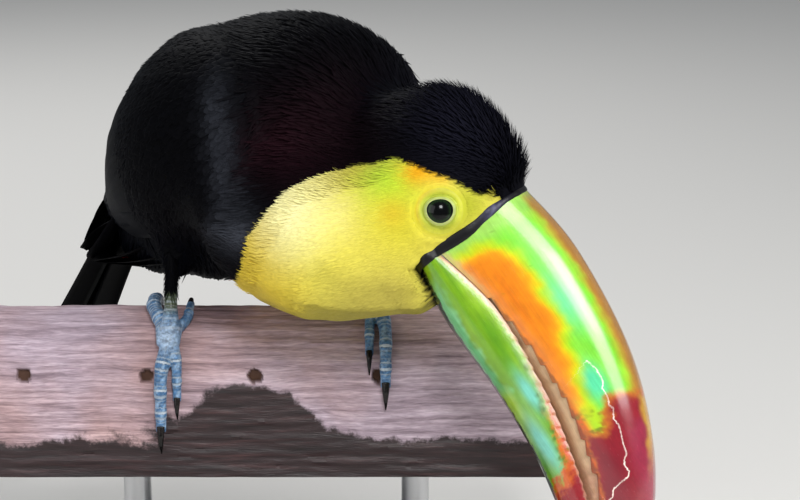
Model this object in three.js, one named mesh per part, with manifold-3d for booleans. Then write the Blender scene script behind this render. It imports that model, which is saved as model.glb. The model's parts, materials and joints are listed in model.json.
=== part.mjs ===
// A keel-billed toucan, life size, leaning down from a short length of weathered rail on a display stand.
// Millimetres, +Z up. The origin is the centre of the stand's underside. The rail runs along X, and the
// bird leans out over its -Y side. Bird positions are measured from the top of the rail, midway between
// the feet.
import * as THREE from "three";
import { mergeVertices } from "three/addons/utils/BufferGeometryUtils.js";
import Module from "manifold-3d";

const wasm = await Module();
wasm.setup();

// ---- Driving dimensions ----
const GAP = 0.4; // clear space between neighbouring solids
const RAIL_TOP = 130; // height of the rail's top above the floor
const RAIL = { length: 240, radius: 24.5, height: 62, flare: 7 }; // flare: lean of its sides, in degrees
const BASE = { length: 210, width: 160, thickness: 14, corner: 18, bevel: 2 };
const ROD = { radius: 5.5, spacing: 110 };

const TRUNK = { centre: [-4, 12, 60], heading: 47, pitch: 28, length: 138, depth: 102, width: 98 };
const WING = { front: 52, back: -83, lift: 1.2, edge: 0.8, thickness: 6 };
const TAIL = { root: [-65, 51, 21], heading: 44, pitch: 54, length: 160, width: 43 };
const TARSUS_RADIUS = 2.3;
const EYE = { forward: -11, up: 17.4, radius: 7, bulge: 1.4 }; // bulge: how far it stands out
const BILL = { halfWidth: 16.5, palate: 2.6, trough: { base: 1.2, parted: 2 } };

// Each foot: where it stands across and round the rail (round is measured along the rail's surface from
// its top, towards the back), and where its ankle is.
const FEET = {
  right: { side: -1, across: -38, round: -19, ankle: [-38, 2, 42], hip: [-24, 26, 66] },
  left: { side: 1, across: 40, round: -2, ankle: [37, 22, 43], hip: [20, 38, 66] },
};
// Each toe: which way it reaches along the rail's surface, how far, how much it spreads outwards, and
// the length of its claw.
const TOES = {
  2: { reach: -25, spread: -3.4, radius: 2.1, claw: 8 },
  3: { reach: -37, spread: 3.6, radius: 2.4, claw: 10 },
  4: { reach: 34, spread: 8, radius: 2.4, claw: 9 },
  1: { reach: 20, spread: -6, radius: 1.9, claw: 7 },
};

// ---- Directions ----
const radians = THREE.MathUtils.degToRad;
const vector = (x, y, z) => new THREE.Vector3(x, y, z);
const mix = THREE.MathUtils.lerp;

// An upright frame that faces `heading` degrees round from -Y towards +X, tipped up by `pitch` and rolled
// about its own forward axis.
function facing(heading, pitch, roll = 0) {
  const h = radians(heading);
  const p = radians(pitch);
  const forward = vector(Math.sin(h) * Math.cos(p), -Math.cos(h) * Math.cos(p), Math.sin(p));
  const right = vector(-Math.cos(h), -Math.sin(h), 0);
  right.applyAxisAngle(forward, radians(roll));
  const up = new THREE.Vector3().crossVectors(right, forward);
  return { forward, up, right };
}

// A point given by distances along a frame's forward, up and right axes.
function placed(origin, frame, forward, up, right = 0) {
  return origin
    .clone()
    .addScaledVector(frame.forward, forward)
    .addScaledVector(frame.up, up)
    .addScaledVector(frame.right, right);
}

// A smooth function through a few (input, output) knots, level beyond the first and last.
function graph(knots) {
  const inputs = knots.map((knot) => knot[0]);
  const spline = new THREE.CubicInterpolant(inputs, knots.map((knot) => knot[1]), 1);
  return (x) => spline.evaluate(THREE.MathUtils.clamp(x, inputs[0], inputs[inputs.length - 1]))[0];
}

// ---- Solids ----
function solidOf(geometry) {
  const bare = new THREE.BufferGeometry();
  const flat = geometry.index ? geometry.toNonIndexed() : geometry;
  bare.setAttribute("position", flat.getAttribute("position").clone());
  const merged = mergeVertices(bare, 1e-3);
  return new wasm.Manifold(
    new wasm.Mesh({
      numProp: 3,
      vertProperties: merged.attributes.position.array,
      triVerts: new Uint32Array(merged.index.array),
    }),
  );
}

// A solid from indexed points, turned the right way out if its faces point inwards.
function closedSolid(points, faces) {
  const geometry = new THREE.BufferGeometry().setFromPoints(points);
  geometry.setIndex(faces);
  const solid = solidOf(geometry);
  if (solid.volume() > 0) return solid;
  geometry.setIndex(faces.reverse());
  return solidOf(geometry);
}

// The geometry of a solid's largest piece, without the slivers that a cut can leave.
function geometryOf(solid) {
  const largest = solid.decompose().reduce((a, b) => (b.volume() > a.volume() ? b : a));
  const mesh = largest.getMesh();
  const geometry = new THREE.BufferGeometry();
  geometry.setAttribute("position", new THREE.BufferAttribute(mesh.vertProperties, 3));
  geometry.setIndex(new THREE.BufferAttribute(mesh.triVerts, 1));
  return geometry;
}

// The part of a solid behind (or, with `front`, ahead of) the plane through `point`.
function cutAt(solid, { point, normal }, front = false) {
  const side = normal.clone().multiplyScalar(front ? 1 : -1);
  const offset = side.dot(point) + (front ? GAP : 0);
  return solid.trimByPlane(side.toArray(), offset);
}

// A closed skin over rings of points, all rings with the same count, with a point at each end.
function ringSolid(rings, startPoint, endPoint) {
  const count = rings[0].length;
  const points = [...rings.flat(), startPoint, endPoint];
  const start = points.length - 2;
  const end = points.length - 1;
  const faces = [];
  for (let ring = 0; ring < rings.length - 1; ring += 1) {
    for (let i = 0; i < count; i += 1) {
      const a = ring * count + i;
      const b = ring * count + ((i + 1) % count);
      faces.push(a, b, b + count, a, b + count, a + count);
    }
  }
  const last = (rings.length - 1) * count;
  for (let i = 0; i < count; i += 1) {
    const next = (i + 1) % count;
    faces.push(start, next, i);
    faces.push(end, last + i, last + next);
  }
  return closedSolid(points, faces);
}

// A round limb along a smooth line through `points`, with a radius at each point. `grow` makes a slightly
// fatter copy, to cut its clearance out of a neighbour.
function limb(points, radii, { rings = 10, sides = 10, grow = 0 } = {}) {
  const line = new THREE.CatmullRomCurve3(points);
  const radiusAt = graph(radii.map((radius, i) => [i / (radii.length - 1), radius + grow]));
  const frames = line.computeFrenetFrames(rings - 1);
  const made = [];
  for (let ring = 0; ring < rings; ring += 1) {
    const t = ring / (rings - 1);
    const loop = [];
    for (let side = 0; side < sides; side += 1) {
      const angle = (2 * Math.PI * side) / sides;
      const spoke = frames.normals[ring].clone().multiplyScalar(Math.cos(angle));
      spoke.addScaledVector(frames.binormals[ring], Math.sin(angle));
      loop.push(line.getPoint(t).addScaledVector(spoke, radiusAt(t)));
    }
    made.push(loop);
  }
  const dome = 0.5; // how far each end bulges, in radii
  const start = line.getPoint(0).addScaledVector(frames.tangents[0], -dome * radiusAt(0));
  const end = line.getPoint(1).addScaledVector(frames.tangents[rings - 1], dome * radiusAt(1));
  return ringSolid(made, start, end);
}

// ---- Soft forms: ellipsoids that melt into each other, as signed distances in millimetres ----
function ellipsoid(centre, frame, length, depth, width) {
  const radii = vector(length, depth, width).divideScalar(2);
  return (point) => {
    const offset = point.clone().sub(centre);
    const scaled = vector(offset.dot(frame.forward), offset.dot(frame.up), offset.dot(frame.right));
    scaled.divide(radii);
    const size = scaled.length();
    if (size < 1e-6) return -radii.z;
    return (size * (size - 1)) / scaled.divide(radii).length();
  };
}

// Several forms joined, with a rounded valley of about `blend` where they meet.
function melt(forms, blend) {
  return (point) =>
    forms.reduce((joined, form) => {
      const distance = form(point);
      const share = THREE.MathUtils.clamp(0.5 + (joined - distance) / (2 * blend), 0, 1);
      return mix(joined, distance, share) - blend * share * (1 - share);
    }, 1e4);
}

// A round spindle from one point to another.
function spindle(from, to, width) {
  const forward = to.clone().sub(from);
  const length = forward.length();
  forward.normalize();
  const right = new THREE.Vector3().crossVectors(forward, vector(0, 1, 0)).normalize();
  const up = new THREE.Vector3().crossVectors(right, forward);
  return ellipsoid(from.clone().lerp(to, 0.5), { forward, up, right }, length, width, width);
}

const grown = (form, by) => (point) => form(point) - by;
const overlap = (...forms) => (point) => Math.max(...forms.map((form) => form(point)));

// How far the form reaches from `origin`, a point inside it, along `direction`.
function reach(form, origin, direction) {
  const step = 2;
  const furthest = 160;
  let inside = 0;
  while (inside < furthest && form(origin.clone().addScaledVector(direction, inside + step)) < 0) {
    inside += step;
  }
  let outside = inside + step;
  for (let i = 0; i < 14; i += 1) {
    const middle = (inside + outside) / 2;
    if (form(origin.clone().addScaledVector(direction, middle)) < 0) inside = middle;
    else outside = middle;
  }
  return inside;
}

// A ball's mesh, its poles along the frame's forward axis, drawn out to a form from a point inside it.
function wrap(form, centre, frame, around, along) {
  const ball = new THREE.SphereGeometry(1, around, along);
  const spot = ball.getAttribute("position");
  const points = [];
  for (let i = 0; i < spot.count; i += 1) {
    const direction = vector(0, 0, 0)
      .addScaledVector(frame.forward, spot.getY(i))
      .addScaledVector(frame.up, spot.getZ(i))
      .addScaledVector(frame.right, spot.getX(i))
      .normalize();
    points.push(centre.clone().addScaledVector(direction, reach(form, centre, direction)));
  }
  return closedSolid(points, Array.from(ball.index.array));
}

// ---- The bird's plan ----
// The bill's profile lies in the head's forward-up plane, with the origin at the lower back corner of the
// bill's base.
const head = facing(69, -53.2, -25.6);
const billCorner = vector(54.3, -59.1, 34.4);
const inHead = (forward, up, right = 0) => placed(billCorner, head, forward, up, right);
const trunk = facing(TRUNK.heading, TRUNK.pitch);
const trunkCentre = vector(...TRUNK.centre);
const inTrunk = (forward, up, right = 0) => placed(trunkCentre, trunk, forward, up, right);
const tail = facing(TAIL.heading, TAIL.pitch);
const tailRoot = vector(...TAIL.root);

const FLESH = {
  trunk: ellipsoid(trunkCentre, trunk, TRUNK.length, TRUNK.depth, TRUNK.width),
  rump: ellipsoid(inTrunk(-48, -6, 2), facing(46, 36), 84, 52, 56),
  shoulders: ellipsoid(inTrunk(34, -2, -2), trunk, 74, 78, 84),
  breast: ellipsoid(vector(10, -34, 44), facing(40, 0), 74, 66, 70),
  nape: ellipsoid(vector(38, -25, 66), facing(52, -20), 66, 50, 52),
  bib: ellipsoid(inHead(-24, -24, -2), head, 58, 54, 54),
  throat: ellipsoid(inHead(-14, -9, 0), head, 54, 46, 42),
  chin: ellipsoid(inHead(3, -4, 0), head, 34, 15, 20),
  cheeks: ellipsoid(inHead(-14, 16, 0), head, 46, 44, 40),
  cranium: ellipsoid(inHead(-22, 27, 0), head, 66, 55, 42),
};
const flesh = melt(Object.values(FLESH), 9);
const neckBase = { point: inTrunk(44, 0), normal: facing(46, -2).forward };
const headBack = { point: inHead(-40, 24), normal: facing(69, -22, -20).forward };

// ---- Head, neck and trunk: one form, parted by two thin cuts ----
const past = (cut) => (point) => point.clone().sub(cut.point).dot(cut.normal);
const slack = 7; // how far a form is made past a cut, before it is trimmed there

function eyeSolid(side, grow = 0) {
  const outwards = head.right.clone().multiplyScalar(side);
  const middle = inHead(EYE.forward, EYE.up);
  const depth = reach(flesh, middle, outwards) + EYE.bulge - EYE.radius;
  const ball = new THREE.SphereGeometry(EYE.radius + grow, 14, 8);
  return solidOf(ball.translate(...middle.addScaledVector(outwards, depth)));
}

// A block that fills the bill's place: everything ahead of its base and above its lower edge.
function billPlace() {
  const room = 60;
  const droop = 7;
  const side = new THREE.Shape([
    new THREE.Vector2(-GAP, -GAP),
    new THREE.Vector2(room, -GAP - droop),
    new THREE.Vector2(room, room),
    new THREE.Vector2(-GAP, room),
  ]);
  const block = new THREE.ExtrudeGeometry(side, { depth: room, bevelEnabled: false });
  block.translate(0, 0, -room / 2);
  const turn = new THREE.Matrix4().makeBasis(head.forward, head.up, head.right);
  return solidOf(block.applyMatrix4(turn).translate(...billCorner));
}

function headSolid() {
  const form = overlap(flesh, (p) => -past(headBack)(p) - slack);
  const whole = cutAt(wrap(form, inHead(-20, 20), head, 24, 19), headBack, true);
  return whole.subtract(billPlace()).subtract(eyeSolid(1, GAP)).subtract(eyeSolid(-1, GAP));
}

// The neck: flat rings that turn from the head's cut to the trunk's, each drawn out to the form.
function neckSolid() {
  const around = 26;
  const rings = 9;
  const onto = (cut, point) => point.addScaledVector(cut.normal, -past(cut)(point));
  const fromCentre = onto(headBack, inHead(-36, -6));
  const toCentre = onto(neckBase, inTrunk(44, -8)).addScaledVector(neckBase.normal, GAP);
  const made = [];
  for (let ring = 0; ring < rings; ring += 1) {
    const t = ring / (rings - 1);
    const centre = fromCentre.clone().lerp(toCentre, t);
    const normal = headBack.normal.clone().lerp(neckBase.normal, t).normalize();
    const sideways = new THREE.Vector3().crossVectors(normal, vector(0, 0, 1)).normalize();
    const upwards = new THREE.Vector3().crossVectors(sideways, normal);
    const loop = [];
    for (let i = 0; i < around; i += 1) {
      const angle = (2 * Math.PI * i) / around;
      const spoke = sideways.clone().multiplyScalar(Math.cos(angle));
      spoke.addScaledVector(upwards, Math.sin(angle));
      loop.push(centre.clone().addScaledVector(spoke, reach(flesh, centre, spoke)));
    }
    made.push(loop);
  }
  return ringSolid(made, fromCentre, toCentre);
}

function trunkSolid() {
  const form = overlap(flesh, (p) => past(neckBase)(p) - slack);
  return cutAt(wrap(form, trunkCentre, trunk, 30, 22), neckBase);
}

// The place that trunk and neck take up, with their clearance, to cut out of the legs and tail.
function bodyPlace() {
  const furthest = 34;
  const form = overlap(grown(flesh, GAP), (p) => past(neckBase)(p) - furthest);
  return wrap(form, trunkCentre, trunk, 30, 22);
}

// ---- Bill: two blades, parted a little towards the tip ----
const outline = (...points) => new THREE.SplineCurve(points.map(([u, v]) => new THREE.Vector2(u, v)));
const parting = (t) => THREE.MathUtils.smoothstep(t, 0.2, 0.45) * (1 - THREE.MathUtils.smoothstep(t, 0.7, 1));

// Each blade's profile from base to tip (forward, up), its half width as a share of the bill's, a section
// that climbs one side from the cutting edge (height 0) to the ridge (height 1) by (height, width) pairs,
// and how far the middle of its inner face lies above its cutting edges.
const UPPER_BLADE = {
  ridge: outline([0, 47.2], [28, 50.6], [68, 46.3], [100, 34.8], [124, 18.5], [138, 1], [144, -16]),
  edge: outline([0, 8.6], [30, 14.9], [65, 16.8], [92, 12], [113, 3.4], [130, -8], [143, -18]),
  width: graph([[0, 1], [0.25, 0.93], [0.5, 0.76], [0.75, 0.46], [0.92, 0.22], [1, 0.07]]),
  section: [[0, 0.82], [0.12, 0.93], [0.33, 1], [0.58, 0.97], [0.78, 0.8], [0.91, 0.54], [0.98, 0.25]],
  innerRise: (t) => -BILL.palate * parting(t),
};
const LOWER_BLADE = {
  ridge: outline([0, 0], [24, -2.6], [53, -1.7], [79, -2.9], [101, -6.7], [120, -11.6], [136, -17.2]),
  edge: outline([0, 8.2], [29, 14.4], [60, 12.8], [85, 8.2], [106, 2.4], [122, -6], [135, -15.4]),
  width: graph([[0, 0.9], [0.25, 0.84], [0.5, 0.68], [0.75, 0.42], [0.92, 0.2], [1, 0.08]]),
  section: [[0, 0.9], [0.3, 1], [0.6, 0.96], [0.82, 0.78], [0.95, 0.45]],
  innerRise: (t) => -BILL.trough.base - BILL.trough.parted * parting(t),
};

function bladeSolid({ ridge, edge, width, section, innerRise }) {
  const rings = 20;
  const bluntTip = 0.985;
  const made = [];
  for (let ring = 0; ring < rings; ring += 1) {
    const t = (bluntTip * ring) / (rings - 1);
    const low = edge.getPoint(t);
    const high = ridge.getPoint(t);
    const spot = (height, across, rise = 0) => {
      const flat = low.clone().lerp(high, height);
      return inHead(flat.x, flat.y + rise, across * BILL.halfWidth * width(t));
    };
    const side = section.map(([height, across]) => spot(height, across));
    const mirrored = section.map(([height, across]) => spot(height, -across)).reverse();
    const edgeWidth = section[0][1];
    const inner = [-0.55, 0, 0.55].map((x) => spot(0, x * edgeWidth, innerRise(t) * (1 - x * x)));
    made.push([...side, spot(1, 0), ...mirrored, ...inner]);
  }
  const middle = (t) => {
    const flat = edge.getPoint(t).lerp(ridge.getPoint(t), 0.5);
    return inHead(flat.x, flat.y);
  };
  return ringSolid(made, middle(0), middle(1));
}

// ---- Wings: folded along the flanks ----
// From the wrist (0) to the wing's tip (1): where its upper and lower edges lie, in degrees round from the
// back, and its thickness.
const wingTop = graph([[0, 64], [0.12, 34], [0.3, 14], [0.6, 11], [0.84, 30], [1, 66]]);
const wingBottom = graph([[0, 98], [0.12, 112], [0.3, 117], [0.6, 111], [0.85, 100], [1, 86]]);
const wingThickness = graph([[0, 0.5], [0.2, 1], [0.45, 0.85], [0.65, 0.5], [0.85, 0.3], [1, 0.15]]);
const wingBed = ellipsoid(inTrunk(-34, -4), trunk, 132, 66, 60); // what the wing's tip lies on

function wingSolid(foot) {
  const side = -foot.side;
  const bed = melt([grown(flesh, WING.lift), grown(thighForm(foot), WING.lift), wingBed], 4);
  const stations = 15;
  const steps = 9;
  const rings = [];
  for (let station = 0; station < stations; station += 1) {
    const along = mix(0.02, 0.98, station / (stations - 1));
    const axis = inTrunk(mix(WING.front, WING.back, along), 0);
    const outer = [];
    const inner = [];
    for (let step = 0; step < steps; step += 1) {
      const across = step / (steps - 1);
      const angle = radians(mix(wingTop(along), wingBottom(along), across));
      const spoke = trunk.up.clone().multiplyScalar(Math.cos(angle));
      spoke.addScaledVector(trunk.right, side * Math.sin(angle));
      const base = axis.clone().addScaledVector(spoke, reach(bed, axis, spoke));
      const crown = Math.sqrt(Math.max(0, 4 * across * (1 - across)));
      const thickness = WING.edge + WING.thickness * wingThickness(along) * crown;
      inner.push(base);
      outer.push(base.clone().addScaledVector(spoke, thickness));
    }
    rings.push([...outer, ...inner.reverse()]);
  }
  const tip = (ring, beyond) => {
    const middle = ring[(steps - 1) / 2].clone().add(ring[steps + (steps - 1) / 2]);
    return middle.multiplyScalar(0.5).addScaledVector(trunk.forward, beyond);
  };
  return ringSolid(rings, tip(rings[0], 1.5), tip(rings[stations - 1], -2));
}

// ---- Tail: closed, slightly roofed, its end graduated to a blunt point ----
const tailWidth = graph([[0, 0.62], [0.25, 0.82], [0.6, 1], [0.85, 0.98], [0.95, 0.74], [1, 0.4]]);

function tailSolid() {
  const rings = 11;
  const columns = 7;
  const made = [];
  for (let ring = 0; ring < rings; ring += 1) {
    const t = ring / (rings - 1);
    const half = (TAIL.width / 2) * tailWidth(t);
    const top = [];
    const bottom = [];
    for (let column = 0; column < columns; column += 1) {
      const x = (2 * column) / (columns - 1) - 1;
      const roof = -5 * x * x;
      const thickness = mix(9, 2.6, Math.sqrt(t)) * (1 - 0.75 * x * x);
      const back = -t * TAIL.length + 10 * t * x * x * tailWidth(t);
      top.push(placed(tailRoot, tail, back, roof + thickness / 2, x * half));
      bottom.push(placed(tailRoot, tail, back, roof - thickness / 2, x * half));
    }
    made.push([...top, ...bottom.reverse()]);
  }
  const end = (t, beyond) => placed(tailRoot, tail, -t * TAIL.length - beyond, 0);
  return ringSolid(made, end(0, -4), end(1, 2));
}

// ---- Legs ----
// A point `height` above the rail's surface, `round` along it from the top (towards the back if positive).
function onRail(across, round, height) {
  const arc = Math.sign(round) * Math.min(Math.abs(round) / RAIL.radius, radians(90 - RAIL.flare));
  const beyond = Math.abs(round) - Math.abs(arc) * RAIL.radius;
  const direction = Math.sign(round);
  const y = Math.sin(arc) * (RAIL.radius + height) + direction * Math.cos(arc) * beyond;
  const z = Math.cos(arc) * (RAIL.radius + height) - RAIL.radius - Math.abs(Math.sin(arc)) * beyond;
  return vector(across, y, z);
}

// The feathered thigh: a full upper part and a narrower cuff that the tarsus comes out of.
function thighForm(foot) {
  const hip = vector(...foot.hip);
  const ankle = vector(...foot.ankle);
  const sole = onRail(foot.across, foot.round, 0);
  const knee = hip.clone().lerp(ankle, 0.4);
  const full = spindle(hip, ankle.clone().lerp(sole, 0.3), 38);
  const cuff = spindle(knee, ankle.clone().lerp(sole, 0.66), 23);
  return melt([full, cuff], 6);
}

function thighSolid(foot) {
  const hip = vector(...foot.hip);
  const ankle = vector(...foot.ankle);
  return wrap(thighForm(foot), hip.clone().lerp(ankle, 0.7), facing(0, -90), 14, 10);
}

function tarsusSolid(foot, grow = 0) {
  const ankle = vector(...foot.ankle);
  const top = ankle.clone().lerp(onRail(foot.across, foot.round, 10), 0.2);
  const sole = onRail(foot.across, foot.round, 4.6);
  const shank = top.clone().lerp(sole, 0.5);
  const instep = top.clone().lerp(sole, 0.85);
  const radii = [1, 0.95, 1.1, 1.6].map((share) => share * TARSUS_RADIUS);
  return limb([top, shank, instep, sole], radii, { rings: 8, sides: 8, grow });
}

function toePoint(foot, toe, t, height) {
  const across = foot.across + foot.side * toe.spread * THREE.MathUtils.smoothstep(t, -0.15, 0.5);
  return onRail(across, foot.round + toe.reach * t, height);
}

function toeSolid(foot, toe, grow = 0) {
  const swell = [1.1, 1, 1.12, 0.92, 1.05, 0.85, 0.95, 0.7]; // the pads between the creases
  const radii = swell.map((share) => share * toe.radius);
  const points = radii.map((radius, i) => {
    const t = 0.06 + (0.9 * i) / (radii.length - 1);
    return toePoint(foot, toe, t, radius + GAP + 0.15);
  });
  return limb(points, radii, { rings: 12, sides: 8, grow });
}

function clawSolid(foot, toe) {
  const length = toe.claw / Math.abs(toe.reach);
  const heights = [0.95, 1.25, 1.2, 0.55];
  const points = heights.map((height, i) =>
    toePoint(foot, toe, 0.94 + (length * i) / (heights.length - 1), height * toe.radius + GAP),
  );
  const radii = [0.62, 0.5, 0.34, 0.16].map((share) => share * toe.radius);
  return limb(points, radii, { rings: 5, sides: 6 });
}

// ---- Rail and stand ----
function railSolid() {
  const { radius, height, length } = RAIL;
  const sides = 26;
  const span = radians(90 - RAIL.flare);
  const foot = (height - radius) * Math.tan(radians(RAIL.flare));
  const section = new THREE.Shape();
  section.moveTo(radius + foot, -height);
  for (let i = 0; i <= sides; i += 1) {
    const arc = mix(span, -span, i / sides);
    section.lineTo(radius * Math.sin(arc), radius * Math.cos(arc) - radius);
  }
  section.lineTo(-radius - foot, -height);
  const block = new THREE.ExtrudeGeometry(section, { depth: length, bevelEnabled: false });
  const turn = new THREE.Matrix4().makeBasis(vector(0, 1, 0), vector(0, 0, 1), vector(1, 0, 0));
  return solidOf(block.translate(0, 0, -length / 2).applyMatrix4(turn));
}

function baseSolid() {
  const { length, width, thickness, corner, bevel } = BASE;
  const x = length / 2 - corner;
  const y = width / 2 - corner;
  const plan = new THREE.Shape();
  plan.absarc(x, y, corner - bevel, 0, Math.PI / 2);
  plan.absarc(-x, y, corner - bevel, Math.PI / 2, Math.PI);
  plan.absarc(-x, -y, corner - bevel, Math.PI, 1.5 * Math.PI);
  plan.absarc(x, -y, corner - bevel, 1.5 * Math.PI, 2 * Math.PI);
  const plate = new THREE.ExtrudeGeometry(plan, {
    depth: thickness - 2 * bevel,
    bevelSize: bevel,
    bevelThickness: bevel,
    bevelSegments: 1,
    curveSegments: 4,
  });
  return solidOf(plate.translate(0, 0, bevel));
}

function rodSolid(side) {
  const height = RAIL_TOP - RAIL.height - BASE.thickness - 2 * GAP;
  const rod = new THREE.CylinderGeometry(ROD.radius, ROD.radius, height, 18);
  rod.rotateX(Math.PI / 2);
  return solidOf(rod.translate((side * ROD.spacing) / 2, 0, BASE.thickness + GAP + height / 2));
}

// ---- Assembly ----
const part = new THREE.Group();
const bird = new THREE.Group();
bird.position.set(0, 0, RAIL_TOP);
part.add(bird);

function addPiece(group, name, solid, colour, roughness = 0.7, metalness = 0) {
  const material = new THREE.MeshStandardMaterial({ color: colour, roughness, metalness });
  const mesh = new THREE.Mesh(geometryOf(solid), material);
  mesh.name = name;
  group.add(mesh);
}

const BLACK = 0x0c0d12;
const YELLOW = 0xe8e03a;
const SCALY_BLUE = 0x7d9fb8;
const HORN = 0x3a3431;

const body = bodyPlace();
addPiece(bird, "head", headSolid(), YELLOW);
addPiece(bird, "neck", neckSolid(), YELLOW);
addPiece(bird, "trunk", trunkSolid(), BLACK);
addPiece(bird, "tail", tailSolid().subtract(body), BLACK);
addPiece(bird, "bill_upper", bladeSolid(UPPER_BLADE), 0xa8d848, 0.25);
addPiece(bird, "bill_lower", bladeSolid(LOWER_BLADE), 0x9acb3c, 0.25);

for (const [name, foot] of Object.entries(FEET)) {
  addPiece(bird, `eye_${name}`, eyeSolid(-foot.side), 0x2a211c, 0.1);
  addPiece(bird, `wing_${name}`, wingSolid(foot), BLACK);
  let taken = tarsusSolid(foot, GAP); // the place of what is already there, for the next toe to clear
  addPiece(bird, `thigh_${name}`, thighSolid(foot).subtract(body).subtract(taken), BLACK);
  addPiece(bird, `tarsus_${name}`, tarsusSolid(foot).subtract(body), SCALY_BLUE);
  for (const [digit, toe] of Object.entries(TOES)) {
    const toePlace = toeSolid(foot, toe, GAP);
    addPiece(bird, `toe_${name}_${digit}`, toeSolid(foot, toe).subtract(taken), SCALY_BLUE);
    addPiece(bird, `claw_${name}_${digit}`, clawSolid(foot, toe).subtract(toePlace), HORN, 0.4);
    taken = taken.add(toePlace);
  }
}

addPiece(bird, "perch", railSolid(), 0xa89c98, 0.85);
addPiece(part, "stand_base", baseSolid(), 0x2b2b2d, 0.5);
addPiece(part, "stand_rod_left", rodSolid(1), 0xb9bbbd, 0.35, 1);
addPiece(part, "stand_rod_right", rodSolid(-1), 0xb9bbbd, 0.35, 1);

export default part;
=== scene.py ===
"""A keel-billed toucan leaning down from a cut rail on a display stand: the looks over its CAD frame."""

import json
import math

import bmesh
import bpy
import numpy as np
from mathutils import Matrix, Vector
from mathutils.bvhtree import BVHTree

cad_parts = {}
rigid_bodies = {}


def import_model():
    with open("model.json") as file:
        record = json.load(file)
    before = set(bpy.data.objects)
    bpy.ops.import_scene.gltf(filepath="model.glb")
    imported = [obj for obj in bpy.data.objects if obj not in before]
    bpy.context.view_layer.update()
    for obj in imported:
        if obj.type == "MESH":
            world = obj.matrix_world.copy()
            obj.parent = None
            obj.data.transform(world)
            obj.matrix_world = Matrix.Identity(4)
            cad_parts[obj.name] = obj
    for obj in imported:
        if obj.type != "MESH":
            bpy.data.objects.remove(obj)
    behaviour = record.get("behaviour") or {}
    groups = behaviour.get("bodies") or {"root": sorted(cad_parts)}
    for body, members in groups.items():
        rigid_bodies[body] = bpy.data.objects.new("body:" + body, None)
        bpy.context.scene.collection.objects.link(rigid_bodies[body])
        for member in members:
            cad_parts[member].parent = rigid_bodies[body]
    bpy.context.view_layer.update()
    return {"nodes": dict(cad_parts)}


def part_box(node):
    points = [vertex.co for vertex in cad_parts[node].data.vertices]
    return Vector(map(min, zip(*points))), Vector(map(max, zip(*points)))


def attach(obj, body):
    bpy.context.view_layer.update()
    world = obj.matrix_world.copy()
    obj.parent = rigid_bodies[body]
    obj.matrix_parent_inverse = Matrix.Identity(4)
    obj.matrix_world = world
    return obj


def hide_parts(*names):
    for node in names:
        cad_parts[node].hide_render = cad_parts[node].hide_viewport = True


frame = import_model()
MM = 0.001

# ---- Stand base ----
# A plain wooden plinth, sprayed with satin black lacquer and rubbed down by hand. Its edges are eased, so
# that they catch a thin line of light. The whole model stands on it.


def linear(code):
    """The linear RGBA of an sRGB hex colour."""
    parts = [int(code[i : i + 2], 16) / 255 for i in (1, 3, 5)]
    return tuple(c / 12.92 if c <= 0.04045 else ((c + 0.055) / 1.055) ** 2.4 for c in parts) + (1.0,)


def add(tree, kind, inputs=None, **settings):
    """Adds a node. Its inputs, by name or number, are values or the sockets to link to them."""
    node = tree.nodes.new(kind)
    for option, value in settings.items():
        setattr(node, option, value)
    for key, value in (inputs or {}).items():
        if isinstance(value, bpy.types.NodeSocket):
            tree.links.new(value, node.inputs[key])
        else:
            node.inputs[key].default_value = value
    return node


def material_named(name):
    """A new material with an empty tree."""
    material = bpy.data.materials.new(name)
    material.use_nodes = True
    material.node_tree.nodes.clear()
    return material, material.node_tree


def set_ramp(node, *stops):
    """Gives a Color Ramp node its stops, each a position and a hex colour."""
    elements = node.color_ramp.elements
    while len(elements) < len(stops):
        elements.new(1.0)
    for element, (position, code) in zip(elements, stops):
        element.position = position
        element.color = linear(code)


def attribute(tree, name, output="Fac"):
    """The socket that gives one of the mesh's own attributes."""
    return add(tree, "ShaderNodeAttribute", attribute_name=name).outputs[output]


def mixed(tree, share, first, second, blend="MIX"):
    """The socket of a colour mixed from two."""
    inputs = {0: share, 6: first, 7: second}
    return add(tree, "ShaderNodeMix", inputs, data_type="RGBA", blend_type=blend).outputs[2]


def surfaced(tree, inputs):
    """Ends a material's tree with a Principled shader and the output it leads to."""
    shader = add(tree, "ShaderNodeBsdfPrincipled", inputs)
    add(tree, "ShaderNodeOutputMaterial", {0: shader.outputs[0]})


def in_scene(name, data):
    """A new object in the scene, from a mesh, a lamp or a camera."""
    thing = bpy.data.objects.new(name, data)
    bpy.context.scene.collection.objects.link(thing)
    return thing


def fix_to_frame(piece, slot, *nodes):
    """Fixes a finished piece to the frame, in place of the CAD nodes it stands for. The slot is not used."""
    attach(piece, "root")
    if nodes:
        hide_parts(*nodes)


# Black lacquer over wood: even and dark, with the pores just telling through and a soft satin shine.
lacquer, tree = material_named("satin_black_lacquered_wood")
place = add(tree, "ShaderNodeTexCoord").outputs["Object"]
along_grain = add(tree, "ShaderNodeMapping", {"Vector": place, "Scale": (60, 900, 900)})
pores = add(tree, "ShaderNodeTexNoise", {"Vector": along_grain.outputs[0], "Scale": 1.0, "Detail": 5.0})
haze = add(tree, "ShaderNodeTexNoise", {"Vector": place, "Scale": 45.0, "Detail": 3.0})
shine = add(tree, "ShaderNodeMapRange", {0: haze.outputs[0], 3: 0.3, 4: 0.44})
depth = add(tree, "ShaderNodeBump", {"Strength": 0.25, "Distance": 0.05 * MM, "Height": pores.outputs[0]})
tone = add(tree, "ShaderNodeValToRGB", {0: pores.outputs[0]})
set_ramp(tone, (0.3, "#131314"), (0.7, "#1e1d1e"))
surfaced(tree, {
    "Base Color": tone.outputs[0],
    "Roughness": shine.outputs[0],
    "Normal": depth.outputs[0],
    "Coat Weight": 0.4,
    "Coat Roughness": 0.25,
})

base_low, base_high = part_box("stand_base")
BASE_CORNER = 18 * MM
BASE_EDGE = 2 * MM

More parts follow.
